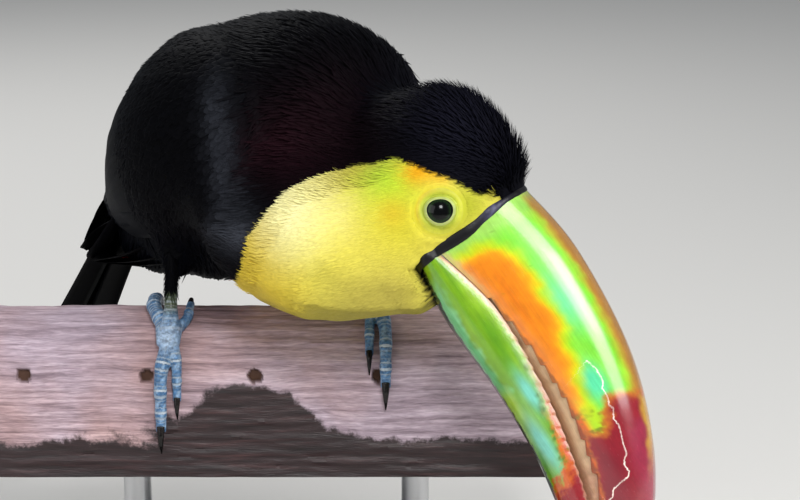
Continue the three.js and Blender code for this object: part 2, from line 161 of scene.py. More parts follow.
plinth = bmesh.new()
corner_steps = 12
ring = []
for turn, (sx, sy) in enumerate([(1, 1), (-1, 1), (-1, -1), (1, -1)]):
    for step in range(corner_steps + 1):
        angle = math.radians(90 * (turn + step / corner_steps))
        x = sx * (base_high.x - BASE_CORNER) + BASE_CORNER * math.cos(angle)
        y = sy * (base_high.y - BASE_CORNER) + BASE_CORNER * math.sin(angle)
        ring.append(plinth.verts.new((x, y, base_low.z)))
bottom = plinth.faces.new(ring)
raised = bmesh.ops.extrude_face_region(plinth, geom=[bottom])["geom"]
lifted = [v for v in raised if isinstance(v, bmesh.types.BMVert)]
bmesh.ops.translate(plinth, verts=lifted, vec=(0, 0, base_high.z - base_low.z))
bmesh.ops.recalc_face_normals(plinth, faces=plinth.faces)
rims = [e for e in plinth.edges if abs(e.verts[0].co.z - e.verts[1].co.z) < 1e-6]
bmesh.ops.bevel(plinth, geom=rims, offset=BASE_EDGE, segments=4, profile=0.5, affect="EDGES")
mesh = bpy.data.meshes.new("stand_base_lacquered")
plinth.to_mesh(mesh)
plinth.free()
mesh.shade_smooth()
mesh.materials.append(lacquer)
base = in_scene("stand_base_lacquered", mesh)
sharp = base.modifiers.new("weighted normals", "WEIGHTED_NORMAL")
sharp.keep_sharp = True
fix_to_frame(base, "stand_base", "stand_base")

# ---- Stand rods ----
# Two short posts of round steel bar, faced and brushed in the lathe. Each is pushed into a hole in the
# plinth below and in the rail above, with a thin steel collar over each hole.

steel, tree = material_named("brushed_steel_bar")
place = add(tree, "ShaderNodeTexCoord").outputs["Object"]
round_bar = add(tree, "ShaderNodeMapping", {"Vector": place, "Scale": (40, 40, 6000)})
rings = add(tree, "ShaderNodeTexNoise", {"Vector": round_bar.outputs[0], "Scale": 1.0, "Detail": 2.0})
shine = add(tree, "ShaderNodeMapRange", {0: rings.outputs[0], 3: 0.24, 4: 0.42})
depth = add(tree, "ShaderNodeBump", {"Strength": 0.3, "Distance": 0.02 * MM, "Height": rings.outputs[0]})
surfaced(tree, {
    "Base Color": linear("#c3c4c6"),
    "Metallic": 1.0,
    "Roughness": shine.outputs[0],
    "Normal": depth.outputs[0],
})


def object_from(name, vertices, faces, material):
    """A smooth mesh object at the origin, with its place in its mesh."""
    mesh = bpy.data.meshes.new(name)
    mesh.from_pydata([tuple(v) for v in vertices], [], [tuple(f) for f in faces])
    mesh.shade_smooth()
    mesh.materials.append(material)
    return in_scene(name, mesh)


def ring_faces(rings, around):
    """Quads joining rings of points, closed round each ring."""
    faces = []
    for row in range(rings - 1):
        a = row * around + np.arange(around)
        b = row * around + (np.arange(around) + 1) % around
        faces.extend(np.stack([a, b, b + around, a + around], 1).tolist())
    return faces


def turned(profile, centre, sides):
    """Points and faces of a lathe-turned piece from its (radius, height) profile, closed at both ends."""
    points = []
    for radius, height in profile:
        for side in range(sides):
            angle = 2 * math.pi * side / sides
            x = centre.x + radius * math.cos(angle)
            points.append((x, centre.y + radius * math.sin(angle), height))
    faces = ring_faces(len(profile), sides)
    faces.append(tuple(reversed(range(sides))))
    faces.append(tuple(range((len(profile) - 1) * sides, len(profile) * sides)))
    return points, faces


COLLAR = {"radius": 9.5 * MM, "height": 3 * MM, "edge": 0.6 * MM}
for side in ("left", "right"):
    low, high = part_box(f"stand_rod_{side}")
    middle = (low + high) / 2
    radius = (high.x - low.x) / 2
    wide, tall, edge = COLLAR["radius"], COLLAR["height"], COLLAR["edge"]
    profile = [
        (wide, low.z),
        (wide, low.z + tall - edge),
        (wide - edge, low.z + tall),
        (radius + edge, low.z + tall),
        (radius, low.z + tall + edge),
        (radius, high.z - tall - edge),
        (radius + edge, high.z - tall),
        (wide - edge, high.z - tall),
        (wide, high.z - tall + edge),
        (wide, high.z),
    ]
    rod = object_from(f"stand_rod_{side}_brushed", *turned(profile, middle, 48), steel)
    rod.data.set_sharp_from_angle(angle=math.radians(35))
    fix_to_frame(rod, "stand_rod", f"stand_rod_{side}")

# ---- Perch ----
# A cut length from the rim of an old feeding trough: a bare softwood rail, rounded over by hand, gone grey
# and pinkish in the weather. Old nail holes run along its face, and fruit juice has soaked into its foot.

RAIL_ROUND = 24.5 * MM
RAIL_FLARE = math.radians(7)
rail_low, rail_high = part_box("perch")
crest = rail_high.z
rail_height = rail_high.z - rail_low.z

# Weathered wood: raised grey latewood between worn, pinker earlywood, with dark checks along the grain.
weathered, tree = material_named("weathered_softwood")
place = add(tree, "ShaderNodeTexCoord").outputs["Object"]
wander = add(tree, "ShaderNodeTexNoise", {"Vector": place, "Scale": 14.0, "Detail": 3.0})
bent = add(tree, "ShaderNodeMix", {0: 0.006, 4: place, 5: wander.outputs["Color"]}, data_type="VECTOR")
along_grain = add(tree, "ShaderNodeMapping", {"Vector": bent.outputs[1], "Scale": (26, 520, 520)})
growth = {"Vector": along_grain.outputs[0], "Scale": 1.0, "Detail": 8.0, "Roughness": 0.65}
grain = add(tree, "ShaderNodeTexNoise", growth)
fine_grain = add(tree, "ShaderNodeMapping", {"Vector": bent.outputs[1], "Scale": (240, 1900, 1900)})
fibre = add(tree, "ShaderNodeTexNoise", {"Vector": fine_grain.outputs[0], "Scale": 1.0, "Detail": 4.0})
tone = add(tree, "ShaderNodeValToRGB", {0: grain.outputs[0]})
set_ramp(tone, (0.3, "#8a7c83"), (0.44, "#b4a6ac"), (0.56, "#cec1c7"), (0.7, "#e6dbe0"))
patches = add(tree, "ShaderNodeTexNoise", {"Vector": place, "Scale": 16.0, "Detail": 4.0})
warmth = add(tree, "ShaderNodeMapRange", {0: patches.outputs[0], 1: 0.42, 2: 0.62})
pinker = mixed(tree, warmth.outputs[0], linear("#e6dde6"), linear("#e0c6c0"))
washed = mixed(tree, 1.0, tone.outputs[0], pinker, "MULTIPLY")
fibre_tone = add(tree, "ShaderNodeMapRange", {0: fibre.outputs[0], 1: 0.3, 2: 0.7, 3: 0.72, 4: 1.12})
streaked = mixed(tree, 1.0, washed, fibre_tone.outputs[0], "MULTIPLY")
stain = attribute(tree, "stain")
tide_mark = {"Vector": bent.outputs[1], "Scale": 75.0, "Detail": 6.0, "Roughness": 0.7}
ragged = add(tree, "ShaderNodeTexNoise", tide_mark)
soaked = add(tree, "ShaderNodeMath", {0: stain, 1: ragged.outputs[0]}, operation="ADD")
edge_of_wet = {0: soaked.outputs[0], 1: 0.93, 2: 1.1}
wet = add(tree, "ShaderNodeMapRange", edge_of_wet, interpolation_type="SMOOTHSTEP")
juice = add(tree, "ShaderNodeValToRGB", {0: grain.outputs[0]})
set_ramp(juice, (0.3, "#120a0c"), (0.55, "#2a181a"), (0.75, "#4a3030"))
stained = mixed(tree, wet.outputs[0], streaked, juice.outputs[0])
# The inside of each nail hole is coloured dark brown.
pit = attribute(tree, "pit")
pitted = mixed(tree, pit, stained, linear("#4a3022"))
shine = add(tree, "ShaderNodeMapRange", {0: wet.outputs[0], 3: 0.82, 4: 0.42})
ridges = add(tree, "ShaderNodeMath", {0: grain.outputs[0], 1: fibre.outputs[0]}, operation="ADD")
depth = add(tree, "ShaderNodeBump", {"Strength": 0.7, "Distance": 0.35 * MM, "Height": ridges.outputs[0]})
surfaced(tree, {"Base Color": pitted, "Roughness": shine.outputs[0], "Normal": depth.outputs[0]})


def noise(points, scale, seed=0):
    """Smooth noise from -1 to 1 at each point: a few crossed waves of wavelengths near `scale`."""
    rng = np.random.default_rng(seed)
    total = np.zeros(len(points))
    waves = 9
    for _ in range(waves):
        direction = rng.normal(size=3)
        direction *= rng.uniform(0.6, 1.7) * 2 * math.pi / scale / np.linalg.norm(direction)
        total += np.sin(points @ direction + rng.uniform(0, 2 * math.pi))
    return total / waves**0.5


def smoothstep(low, high, value):
    t = np.clip((value - low) / (high - low), 0, 1)
    return t * t * (3 - 2 * t)


def set_attribute(mesh, name, values):
    """Stores a number, or a row of three, at each point of a mesh."""
    values = np.asarray(values, dtype=np.float32)
    kind, field = ("FLOAT", "value") if values.ndim == 1 else ("FLOAT_VECTOR", "vector")
    mesh.attributes.new(name, kind, "POINT").data.foreach_set(field, values.ravel())


def rail_section(count):
    """(y, z) points round the rail's section, from its back foot over the top to its front foot."""
    span = math.pi / 2 - RAIL_FLARE
    wall = (rail_height - RAIL_ROUND) / math.cos(RAIL_FLARE)
    over = RAIL_ROUND * 2 * span
    foot = RAIL_ROUND + (rail_height - RAIL_ROUND) * math.tan(RAIL_FLARE)
    points = []
    for i in range(count):
        s = i / (count - 1) * (2 * wall + over)
        if s < wall:
            y, z = foot - s * math.sin(RAIL_FLARE), -rail_height + s * math.cos(RAIL_FLARE)
        elif s < wall + over:
            angle = span - (s - wall) / RAIL_ROUND
            y, z = RAIL_ROUND * math.sin(angle), RAIL_ROUND * (math.cos(angle) - 1)
        else:
            down = s - wall - over
            y = -RAIL_ROUND * math.sin(span) - down * math.sin(RAIL_FLARE)
            z = RAIL_ROUND * (math.cos(span) - 1) - down * math.cos(RAIL_FLARE)
        points.append((y, crest + z))
    return np.array(points)


def face_outwards(mesh):
    """Turns the faces of a closed mesh to look outwards."""
    solid = bmesh.new()
    solid.from_mesh(mesh)
    bmesh.ops.recalc_face_normals(solid, faces=solid.faces)
    solid.to_mesh(mesh)
    solid.free()


def perch_mesh():
    """The rail's worn surface as points and faces, and how far each point lies in a nail hole."""
    around, along = 150, 400
    section = rail_section(around)
    xs = np.linspace(rail_low.x, rail_high.x, along)
    points = np.array([(x, y, z) for x in xs for y, z in section])
    ahead = np.roll(section, -1, 0) - np.roll(section, 1, 0)
    ahead[0], ahead[-1] = section[1] - section[0], section[-1] - section[-2]
    normals = np.stack([np.zeros(around), -ahead[:, 1], ahead[:, 0]], 1)
    normals[:, 1:] *= -1
    normals /= np.linalg.norm(normals, axis=1)[:, None]
    outwards = np.tile(normals, (along, 1))
    stretched = points * np.array([0.09, 1, 1])
    wear = 0.32 * MM * noise(stretched, 5 * MM, 1) + 0.2 * MM * noise(stretched, 2 * MM, 2)
    ends = np.minimum(points[:, 0] - rail_low.x, rail_high.x - points[:, 0])
    height = wear - 0.5 * MM - 1.2 * MM * np.exp(-ends / (0.8 * MM))
    pit = np.zeros(len(points))
    front = points[:, 1] < 0
    for x, drop, size in NAIL_HOLES:
        away = np.hypot(points[:, 0] - x, points[:, 2] - (crest - drop))
        away = away + 0.3 * MM * noise(points, 3 * MM, 3)
        hole = 1 - smoothstep(0.85 * size, size, away)
        height = np.where(front, height - 2.6 * MM * hole, height)
        pit = np.where(front, np.maximum(pit, hole), pit)
    points = points + outwards * height[:, None]
    points[:, 2] = np.maximum(points[:, 2], rail_low.z)
    faces = []
    for i in range(along - 1):
        row = np.arange(around - 1) + i * around
        faces.extend(np.stack([row, row + 1, row + 1 + around, row + around], 1).tolist())
    last = (along - 1) * around
    for i in range(along - 1):
        faces.append((i * around, (i + 1) * around, (i + 2) * around - 1, (i + 1) * around - 1))
    faces.append(tuple(range(around)))
    faces.append(tuple(reversed(range(last, last + around))))
    return points, faces, pit


NAIL_HOLES = [(x * MM, 20 * MM, 2.9 * MM) for x in (-94, -47, -6, 41, 88)]
points, faces, pit = perch_mesh()
perch = object_from("perch_weathered", points, faces, weathered)
face_outwards(perch.data)
perch.data.set_sharp_from_angle(angle=math.radians(50))
set_attribute(perch.data, "pit", pit)
fall = (crest - points[:, 2]) / rail_height
splash = np.exp(-(((points[:, 0] + 8 * MM) / (26 * MM)) ** 2)) * (points[:, 1] < 0)
wet_foot = smoothstep(0.45, 1.0, fall + 0.42 * splash * smoothstep(0.2, 0.4, fall))
set_attribute(perch.data, "stain", wet_foot + 0.08 * noise(points * np.array([0.4, 1, 1]), 18 * MM, 4))
fix_to_frame(perch, "perch_wood", "perch")

# ---- Skin ----
# One tanned skin over the whole bird, drawn smooth over head, neck, body, folded arms and thighs. It lies
# inside the plumage by the coat's depth, and comes out to the full form only on the bare face.


def facing(heading, pitch, roll=0.0):
    """Forward, up and right of something that faces round from -Y towards +X, pitched up, then rolled."""
    h, p = math.radians(heading), math.radians(pitch)
    forward = Vector((math.sin(h) * math.cos(p), -math.cos(h) * math.cos(p), math.sin(p)))
    right = Vector((-math.cos(h), -math.sin(h), 0))
    right.rotate(Matrix.Rotation(math.radians(roll), 3, forward))
    return np.array([forward, right.cross(forward), right])


HEAD = facing(69, -53.2, -25.6)
HEAD_CORNER = np.array([54.3, -59.1, 164.4]) * MM  # the lower back corner of the bill's base
TRUNK = facing(47, 28)
TRUNK_CENTRE = np.array([-4, 12, 190]) * MM
TAIL = facing(44, 54)
TAIL_ROOT = np.array([-65, 51, 151]) * MM


def in_head(points):
    """Millimetres forward along the bill, up and to the bird's right, from the bill's lower back corner."""
    return (np.asarray(points) - HEAD_CORNER) @ HEAD.T / MM


def in_trunk(points):
    """Millimetres forward, up and to the right along the trunk, from its centre."""
    return (np.asarray(points) - TRUNK_CENTRE) @ TRUNK.T / MM


def from_head(forward, up, right=0.0):
    return HEAD_CORNER + np.array([forward, up, right]) @ HEAD * MM


def from_trunk(forward, up, right=0.0):
    return TRUNK_CENTRE + np.array([forward, up, right]) @ TRUNK * MM


def as_mesh(thing):
    """The thing's mesh with its modifiers applied, and the thing itself removed."""
    evaluated = thing.evaluated_get(bpy.context.evaluated_depsgraph_get())
    mesh = bpy.data.meshes.new_from_object(evaluated)
    bpy.data.objects.remove(thing)
    return mesh


def melted(parts, name, voxel, swell, rounds):
    """One smooth closed mesh over several, with the gaps between them filled."""
    shell = bmesh.new()
    for part in parts:
        shell.from_mesh(part)
    bmesh.ops.remove_doubles(shell, verts=shell.verts, dist=0.001 * MM)
    mesh = bpy.data.meshes.new(name)
    shell.to_mesh(mesh)
    shell.free()
    thing = in_scene(name, mesh)
    grow = thing.modifiers.new("close the gaps", "DISPLACE")
    grow.strength, grow.mid_level = swell, 0.0
    remesh = thing.modifiers.new("melt", "REMESH")
    remesh.mode, remesh.voxel_size = "VOXEL", voxel
    smooth = thing.modifiers.new("soften", "SMOOTH")
    smooth.factor, smooth.iterations = 0.5, rounds
    return as_mesh(thing)


def triples(items, field):
    """One vector field of a mesh's items, a row to each."""
    flat = np.empty(len(items) * 3, np.float32)
    items.foreach_get(field, flat)
    return flat.reshape(-1, 3)


def point_of_corners(mesh):
    """Which point each corner of a mesh's faces is at."""
    numbers = np.empty(len(mesh.loops), np.int32)
    mesh.loops.foreach_get("vertex_index", numbers)
    return numbers


def coordinates(mesh):
    return triples(mesh.vertices, "co").astype(float)


def point_normals(mesh):
    return triples(mesh.vertex_normals, "vector").astype(float)


def surface_of(mesh):
    """A search tree over a mesh, for rays and nearest points."""
    polygons = [tuple(p.vertices) for p in mesh.polygons]
    return BVHTree.FromPolygons([tuple(v) for v in coordinates(mesh)], polygons)


FLESH = ["head", "neck", "trunk", "wing_right", "wing_left", "thigh_right", "thigh_left"]
SWELL = 1.3 * MM
solids = [frame["nodes"][name].data for name in [*FLESH, "eye_right", "eye_left"]]
form = melted(solids, "form", 1.4 * MM, SWELL, 14)
form_surface = surface_of(form)
points, normals = coordinates(form), point_normals(form)

# How deep the plumage lies over the skin: thick on the body, thin on the face, and never so deep that a
# thin part, such as a wing's edge, would turn inside out.
COAT_DEPTH = {"face": 0.9 * MM, "crown": 0.9 * MM, "body": 2.7 * MM}
u, v, _ = in_head(points).T
on_head = smoothstep(-46, -24, u + 0.25 * v)
bare_side = smoothstep(46, 24, v) * smoothstep(-30, -16, u) * smoothstep(-16, 2, v)
depth = COAT_DEPTH["body"] + (COAT_DEPTH["crown"] - COAT_DEPTH["body"]) * on_head
depth = depth + (COAT_DEPTH["face"] - depth) * bare_side
for i, (point, normal) in enumerate(zip(points, normals)):
    inwards = Vector(-normal)
    far = form_surface.ray_cast(Vector(point) + inwards * 0.05 * MM, inwards)[3]
    if far is not None:
        depth[i] = min(depth[i], 0.38 * far)
settled = 0.5 * SWELL  # the softening has already taken back the rest
skin_points = points - normals * (depth + settled)[:, None]
# Round the bill the hide is drawn forward until it meets the horn.
bill_solids = bmesh.new()
for name in ("bill_upper", "bill_lower"):
    bill_solids.from_mesh(frame["nodes"][name].data)
bill_surface = BVHTree.FromBMesh(bill_solids)
bill_solids.free()
for i, point in enumerate(skin_points):
    horn_point, _, _, away = bill_surface.find_nearest(Vector(point), 5 * MM)
    if horn_point is not None:
        skin_points[i] += (np.array(horn_point) - point) * 1.2 * smoothstep(4.8 * MM, 2.4 * MM, away)
# Under the chin it tucks in below the lower blade, so that the blade's side stands clear down to its keel.
u, v, w = in_head(skin_points).T
below_keel = -0.2 - 0.105 * u - v
tucked = 5.5 + 2.6 * np.maximum(below_keel, 0) + 300 * (1 - smoothstep(-0.6, 1.0, u)) + 300 * (v > 9)
skin_points = HEAD_CORNER + np.stack([u, v, np.clip(w, -tucked, tucked)], 1) @ HEAD * MM

# The plumage's colours, which skin and feathers share: lemon bib, warm about the eye; blue-black wings, a
# maroon gloss on nape and mantle, a painted grey-blue sheen band beside the bib with a small painted
# highlight below it, white rump and red vent.
BIB = [
    (1, 37.4), (-4.3, 36.4), (-6.8, 31.8), (-14.8, 27.2), (-22.7, 21.8), (-32.5, 15.5), (-35.2, 10.9),
    (-39.7, 1), (-43.7, -11.4), (-45.3, -23.2), (-39.9, -41.9), (-30.6, -53.7), (-18, -80), (60, -90),
    (60, 37.4),
]


def inside_by(corners, x, y):
    """How far each (x, y) lies inside a closed outline, in the outline's units; negative outside."""
    corners = np.asarray(corners, float)
    nearest = np.full(len(x), 1e9)
    crossings = np.zeros(len(x), int)
    for (ax, ay), (bx, by) in zip(corners, np.roll(corners, -1, 0)):
        dx, dy = bx - ax, by - ay
        t = np.clip(((x - ax) * dx + (y - ay) * dy) / (dx * dx + dy * dy), 0, 1)
        nearest = np.minimum(nearest, np.hypot(x - ax - t * dx, y - ay - t * dy))
        if dy:
            crossings += ((ay > y) != (by > y)) & (x < ax + dx * (y - ay) / dy)
    return np.where(crossings % 2 == 1, nearest, -nearest)


def yellow_by(points):
    """How far inside the bib's edge each point lies, in millimetres."""
    u, v, _ = in_head(points).T
    return inside_by(BIB, u, v)


def blot(points, centre, size):
    """1 at a place, fading to 0 over about `size` millimetres in the head's side view."""
    u, v, _ = in_head(points).T
    return np.exp(-((u - centre[0]) ** 2 + (v - centre[1]) ** 2) / size**2)


def blend_in(colour, code, share):
    """Each point's colour, mixed towards a hex colour by its share."""
    return colour + (np.array(linear(code)[:3]) - colour) * np.clip(share, 0, 1)[:, None]


def painter(points, code):
    """A first colour at every point, to be painted over in turn, and the brush that paints it."""
    colour = np.tile(linear(code)[:3], (len(points), 1))

    def brush(code, share):
        colour[:] = blend_in(colour, code, share * np.ones(len(points)))

    return colour, brush


def plumage_colour(points):
    u, v, w = in_head(points).T
    a = in_trunk(points).T[0]
    black, brush = painter(points, "#040406")
    brush("#04050b", smoothstep(0, -45, a))
    brush("#14141f", 0.7 * blot(points, (-28, 40), 20))
    brush("#1c0a10", 0.65 * blot(points, (-59, -15), 14) + 0.4 * blot(points, (-54, 4), 18))
    # Painted sheen: a soft grey-blue band of light caught on the black feathers beside the bib.
    across_sheen_band = 0.9 * (v + 21.8 + 0.476 * (u + 89.8))
    painted_sheen_band = np.exp(-((across_sheen_band / 5.5) ** 2)) * smoothstep(-104, -84, u) * smoothstep(-34, -44, u)
    brush("#282a30", 0.7 * painted_sheen_band * (w > -20))
    # Painted highlight: a small paler patch of lit strands below the sheen band.
    brush("#4c4f58", 0.5 * blot(points, (-43, -48), 6))
    yellow, brush = painter(points, "#c8bc4b")
    brush("#f0e9a8", smoothstep(-12, -40, u) * smoothstep(-58, -40, v) * smoothstep(4, -26, v))
    brush("#e2c63e", smoothstep(-24, -50, v))
    brush("#b0a348", smoothstep(-16, 6, u) * smoothstep(4, -12, v))
    brush("#b0dc34", 0.9 * blot(points, (-26, 10), 10))
    brush("#a2a628", 0.9 * blot(points, (-6, 27), 8))
    brush("#bcb226", 0.8 * blot(points, (-14, 4), 12))
    warm = 0.95 * blot(points, (-25.5, 18.5), 5.5) + 0.8 * blot(points, (-21, 25.5), 4)
    brush("#d8980a", warm + 0.3 * blot(points, (-19, 4), 5))
    brush("#969a24", 0.4 * blot(points, (-3, 19), 6))
    border = yellow_by(points)
    colour = np.where((border > 0)[:, None], yellow, black)
    band = (border < 0) & (border > -5) & (w < -26) & (v < -26)
    colour = np.where(band[:, None], np.array(linear("#a8141a")[:3]), colour)
    back, tail_up, aside = ((points - TAIL_ROOT) @ TAIL.T / MM).T
    rump = (back < 20) & (np.abs(aside + 2) < 7.5) & (tail_up > 2)
    vent = (back < 8) & (np.abs(aside + 8) < 7) & (tail_up < -4)
    colour = blend_in(colour, "#ece9de", rump)
    return blend_in(colour, "#8a1018", vent)


def lie_of(points, normals):
    """Which way the feathers lie: from bill to tail over the body and down the thighs, along the skin."""
    on_head = [
        (0, 42, (0,), (-1, 0.25, 0)),
        (-38, 46, (0,), (-1, -0.35, 0)),
        (-8, 36, (14, -14), (-0.8, -0.8, 0)),
        (-26, 26, (18, -18), (-0.7, -0.7, 0)),
        (-6, 8, (18, -18), (-0.3, -1, 0)),
        (2, 3, (0,), (-0.1, -1, 0)),
        (-12, -22, (0,), (-0.15, -1, 0)),
        (-36, -34, (0,), (-0.6, -0.7, 0)),
    ]
    on_trunk = [
        (30, 40, (0,), (-1, 0.1, 0)),
        (30, 0, (40, -40), (-1, -0.3, 0)),
        (25, -40, (0,), (-1, -0.2, 0)),
        (-10, 45, (0,), (-1, 0, 0)),
        (-10, -45, (0,), (-1, 0, 0)),
    ]
    markers = [(from_head(u, v, w), way @ HEAD) for u, v, sides, way in on_head for w in sides]
    markers.append((np.array([38, -25, 210]) * MM, -facing(50, -8)[0]))
    markers += [(from_trunk(a, b, c), way @ TRUNK) for a, b, sides, way in on_trunk for c in sides]
    markers += [(from_trunk(a, b), -TAIL[0]) for a, b in ((-50, 10), (-55, -25))]
    for side in ("right", "left"):
        low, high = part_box(f"tarsus_{side}")
        markers.append((np.array([*(low + high).xy / 2, high.z]), np.array([0.0, 0.2, -1.0])))
    total = np.zeros_like(points)
    for place, direction in markers:
        nearness = 1 / (np.sum((points - place) ** 2, 1) + (9 * MM) ** 2) ** 2
        total += nearness[:, None] * (direction / np.linalg.norm(direction))
    total -= normals * np.sum(total * normals, 1)[:, None]
    return total / np.maximum(np.linalg.norm(total, axis=1), 1e-12)[:, None]


def plumage_material(name, gloss_level, roughness, sheen, sheen_colour, streak):
    """Feather vanes: barbs along each vane, a darker root, and a little difference from vane to vane."""
    material, tree = material_named(name)
    tint = attribute(tree, "tint", "Color")
    shade = attribute(tree, "shade")
    along = attribute(tree, "along")
    place = add(tree, "ShaderNodeTexCoord").outputs["Object"]
    mottle = add(tree, "ShaderNodeTexNoise", {"Vector": place, "Scale": 900.0, "Detail": 3.0})
    root = add(tree, "ShaderNodeMapRange", {0: along, 3: 1 - 2 * streak, 4: 1 + 0.5 * streak})
    each = add(tree, "ShaderNodeMapRange", {0: shade, 3: 1 - streak, 4: 1 + streak})
    grains = {0: mottle.outputs[0], 1: 0.3, 2: 0.7, 3: 1 - streak, 4: 1 + streak}
    grain = add(tree, "ShaderNodeMapRange", grains)
    both = add(tree, "ShaderNodeMath", {0: root.outputs[0], 1: each.outputs[0]}, operation="MULTIPLY")
    share = add(tree, "ShaderNodeMath", {0: both.outputs[0], 1: grain.outputs[0]}, operation="MULTIPLY")
    colour = mixed(tree, 1.0, tint, share.outputs[0], "MULTIPLY")
    raised = {"Strength": streak, "Distance": 0.1 * MM, "Height": mottle.outputs[0]}
    barbs = add(tree, "ShaderNodeBump", raised)
    surfaced(tree, {
        "Base Color": colour,
        "Roughness": roughness,
        "Normal": barbs.outputs[0],
        "Specular IOR Level": gloss_level,
        "Sheen Weight": sheen,
        "Sheen Roughness": 0.35,
        "Sheen Tint": linear(sheen_colour),
    })
    return material


# Black feathers: melanin makes them all but black, and the keratin over it gives a cold blue gloss.
black_plumage = plumage_material("blue_black_plumage", 0.02, 0.55, 0.01, "#8fa6cc", 0.15)
# Yellow, white and red feathers: soft and silky, their barbs loose, so that they scatter light.
bright_plumage = plumage_material("silky_bright_plumage", 0.1, 0.6, 0.15, "#fff6c8", 0.05)

# Bare facial skin: thin, greenish yellow and faintly pebbled, creased in rings about the lids.
bare_skin, tree = material_named("bare_facial_skin")
tint = attribute(tree, "tint", "Color")
place = add(tree, "ShaderNodeTexCoord").outputs["Object"]
pebbles = add(tree, "ShaderNodeTexVoronoi", {"Vector": place, "Scale": 1500.0})
mottle = add(tree, "ShaderNodeTexNoise", {"Vector": place, "Scale": 350.0, "Detail": 4.0})
share = add(tree, "ShaderNodeMapRange", {0: mottle.outputs[0], 1: 0.3, 2: 0.7, 3: 0.86, 4: 1.1})
colour = mixed(tree, 1.0, tint, share.outputs[0], "MULTIPLY")
raised = {"Strength": 0.35, "Distance": 0.12 * MM, "Height": pebbles.outputs[0]}
depth_node = add(tree, "ShaderNodeBump", raised)
surfaced(tree, {
    "Base Color": colour,
    "Roughness": 0.48,
    "Normal": depth_node.outputs[0],
    "Subsurface Weight": 0.12,
    "Subsurface Radius": (0.8, 0.6, 0.2),
    "Subsurface Scale": 1.0 * MM,
})

# ---- Feet ----
# Scaly legs, two toes forward and two back, closed round the rail. The hide is drawn tight over bone and
# tendon, and creased into a ring of plates at each bend, so that the toes look jointed.

# Each foot, in millimetres: its outer side, where it stands across the rail and round it from the crest
# (towards the back if positive), and its ankle.
FEET = {
    "right": {"side": -1, "across": -38, "around": -19, "ankle": (-38, 2, 172)},
    "left": {"side": 1, "across": 40, "around": -2, "ankle": (37, 22, 173)},
}
# Each toe: how far it reaches round the rail, how far it spreads outwards, its thickness and claw, and the
# shares of its length where its joints bend.
TOES = {
    2: {"reach": -25, "spread": -2.6, "radius": 2.0, "claw": 8, "joints": (0.34, 0.66)},
    3: {"reach": -37, "spread": 3.6, "radius": 2.45, "claw": 10, "joints": (0.3, 0.56, 0.78)},
    4: {"reach": 34, "spread": 8, "radius": 2.7, "claw": 9, "joints": (0.2, 0.42, 0.62, 0.8)},
    1: {"reach": 20, "spread": -6, "radius": 1.9, "claw": 7, "joints": (0.55,)},
}
TARSUS_RADIUS = 2.6
SHIN_RINGS, TOE_RINGS, PALM_RINGS = 40, 60, 14
LEG_SIDES = 22
FLATTENED = 0.62  # how thick the palm and the web are, as a share of their width


def on_rail(across, around, height):
    """The place of a point `height` above the rail's surface, in millimetres."""
    radius, top = RAIL_ROUND / MM, crest / MM
    side = np.sign(around)
    arc = side * np.minimum(np.abs(around) / radius, math.pi / 2 - RAIL_FLARE)
    beyond = np.abs(around) - np.abs(arc) * radius
    y = np.sin(arc) * (radius + height) + side * np.cos(arc) * beyond
    z = top + np.cos(arc) * (radius + height) - radius - np.abs(np.sin(arc)) * beyond
    return np.stack([across + 0 * y, y, z], -1)


def toe_line(foot, toe, t, height):
    across = foot["across"] + foot["side"] * toe["spread"] * smoothstep(-0.15, 0.5, t)
    return on_rail(across, foot["around"] + toe["reach"] * t, height)


def capped_faces(rings, around):
    """Faces of a tube of rings of points, each end closed onto one of two more points after them."""
    first, last = rings * around, (rings - 1) * around
    faces = ring_faces(rings, around)
    faces += [(first, (i + 1) % around, i) for i in range(around)]
    return faces + [(first + 1, last + i, last + (i + 1) % around) for i in range(around)]


def tube(line, radii, around, flatness=1.0):
    """A closed tube along a line of points, its section squeezed by `flatness` away from the rail."""
    line, radii = np.asarray(line, float), np.asarray(radii, float)
    ahead = np.gradient(line, axis=0)
    ahead /= np.linalg.norm(ahead, axis=1)[:, None]
    side = np.cross(ahead, (1.0, 0.0, 0.0))
    side /= np.linalg.norm(side, axis=1)[:, None]
    other = np.cross(ahead, side)
    angles = np.linspace(0, 2 * math.pi, around, endpoint=False)
    spokes = flatness * side[:, None] * np.cos(angles)[:, None] + other[:, None] * np.sin(angles)[:, None]
    rings = line[:, None] + spokes * radii[:, None, None]
    ends = [line[0] - 0.6 * radii[0] * ahead[0], line[-1] + 0.6 * radii[-1] * ahead[-1]]
    return np.vstack([rings.reshape(-1, 3), ends]) * MM, capped_faces(len(line), around)


def solid_mesh(name, points, faces):
    mesh = bpy.data.meshes.new(name)
    mesh.from_pydata([tuple(p) for p in points], [], faces)
    face_outwards(mesh)
    return mesh


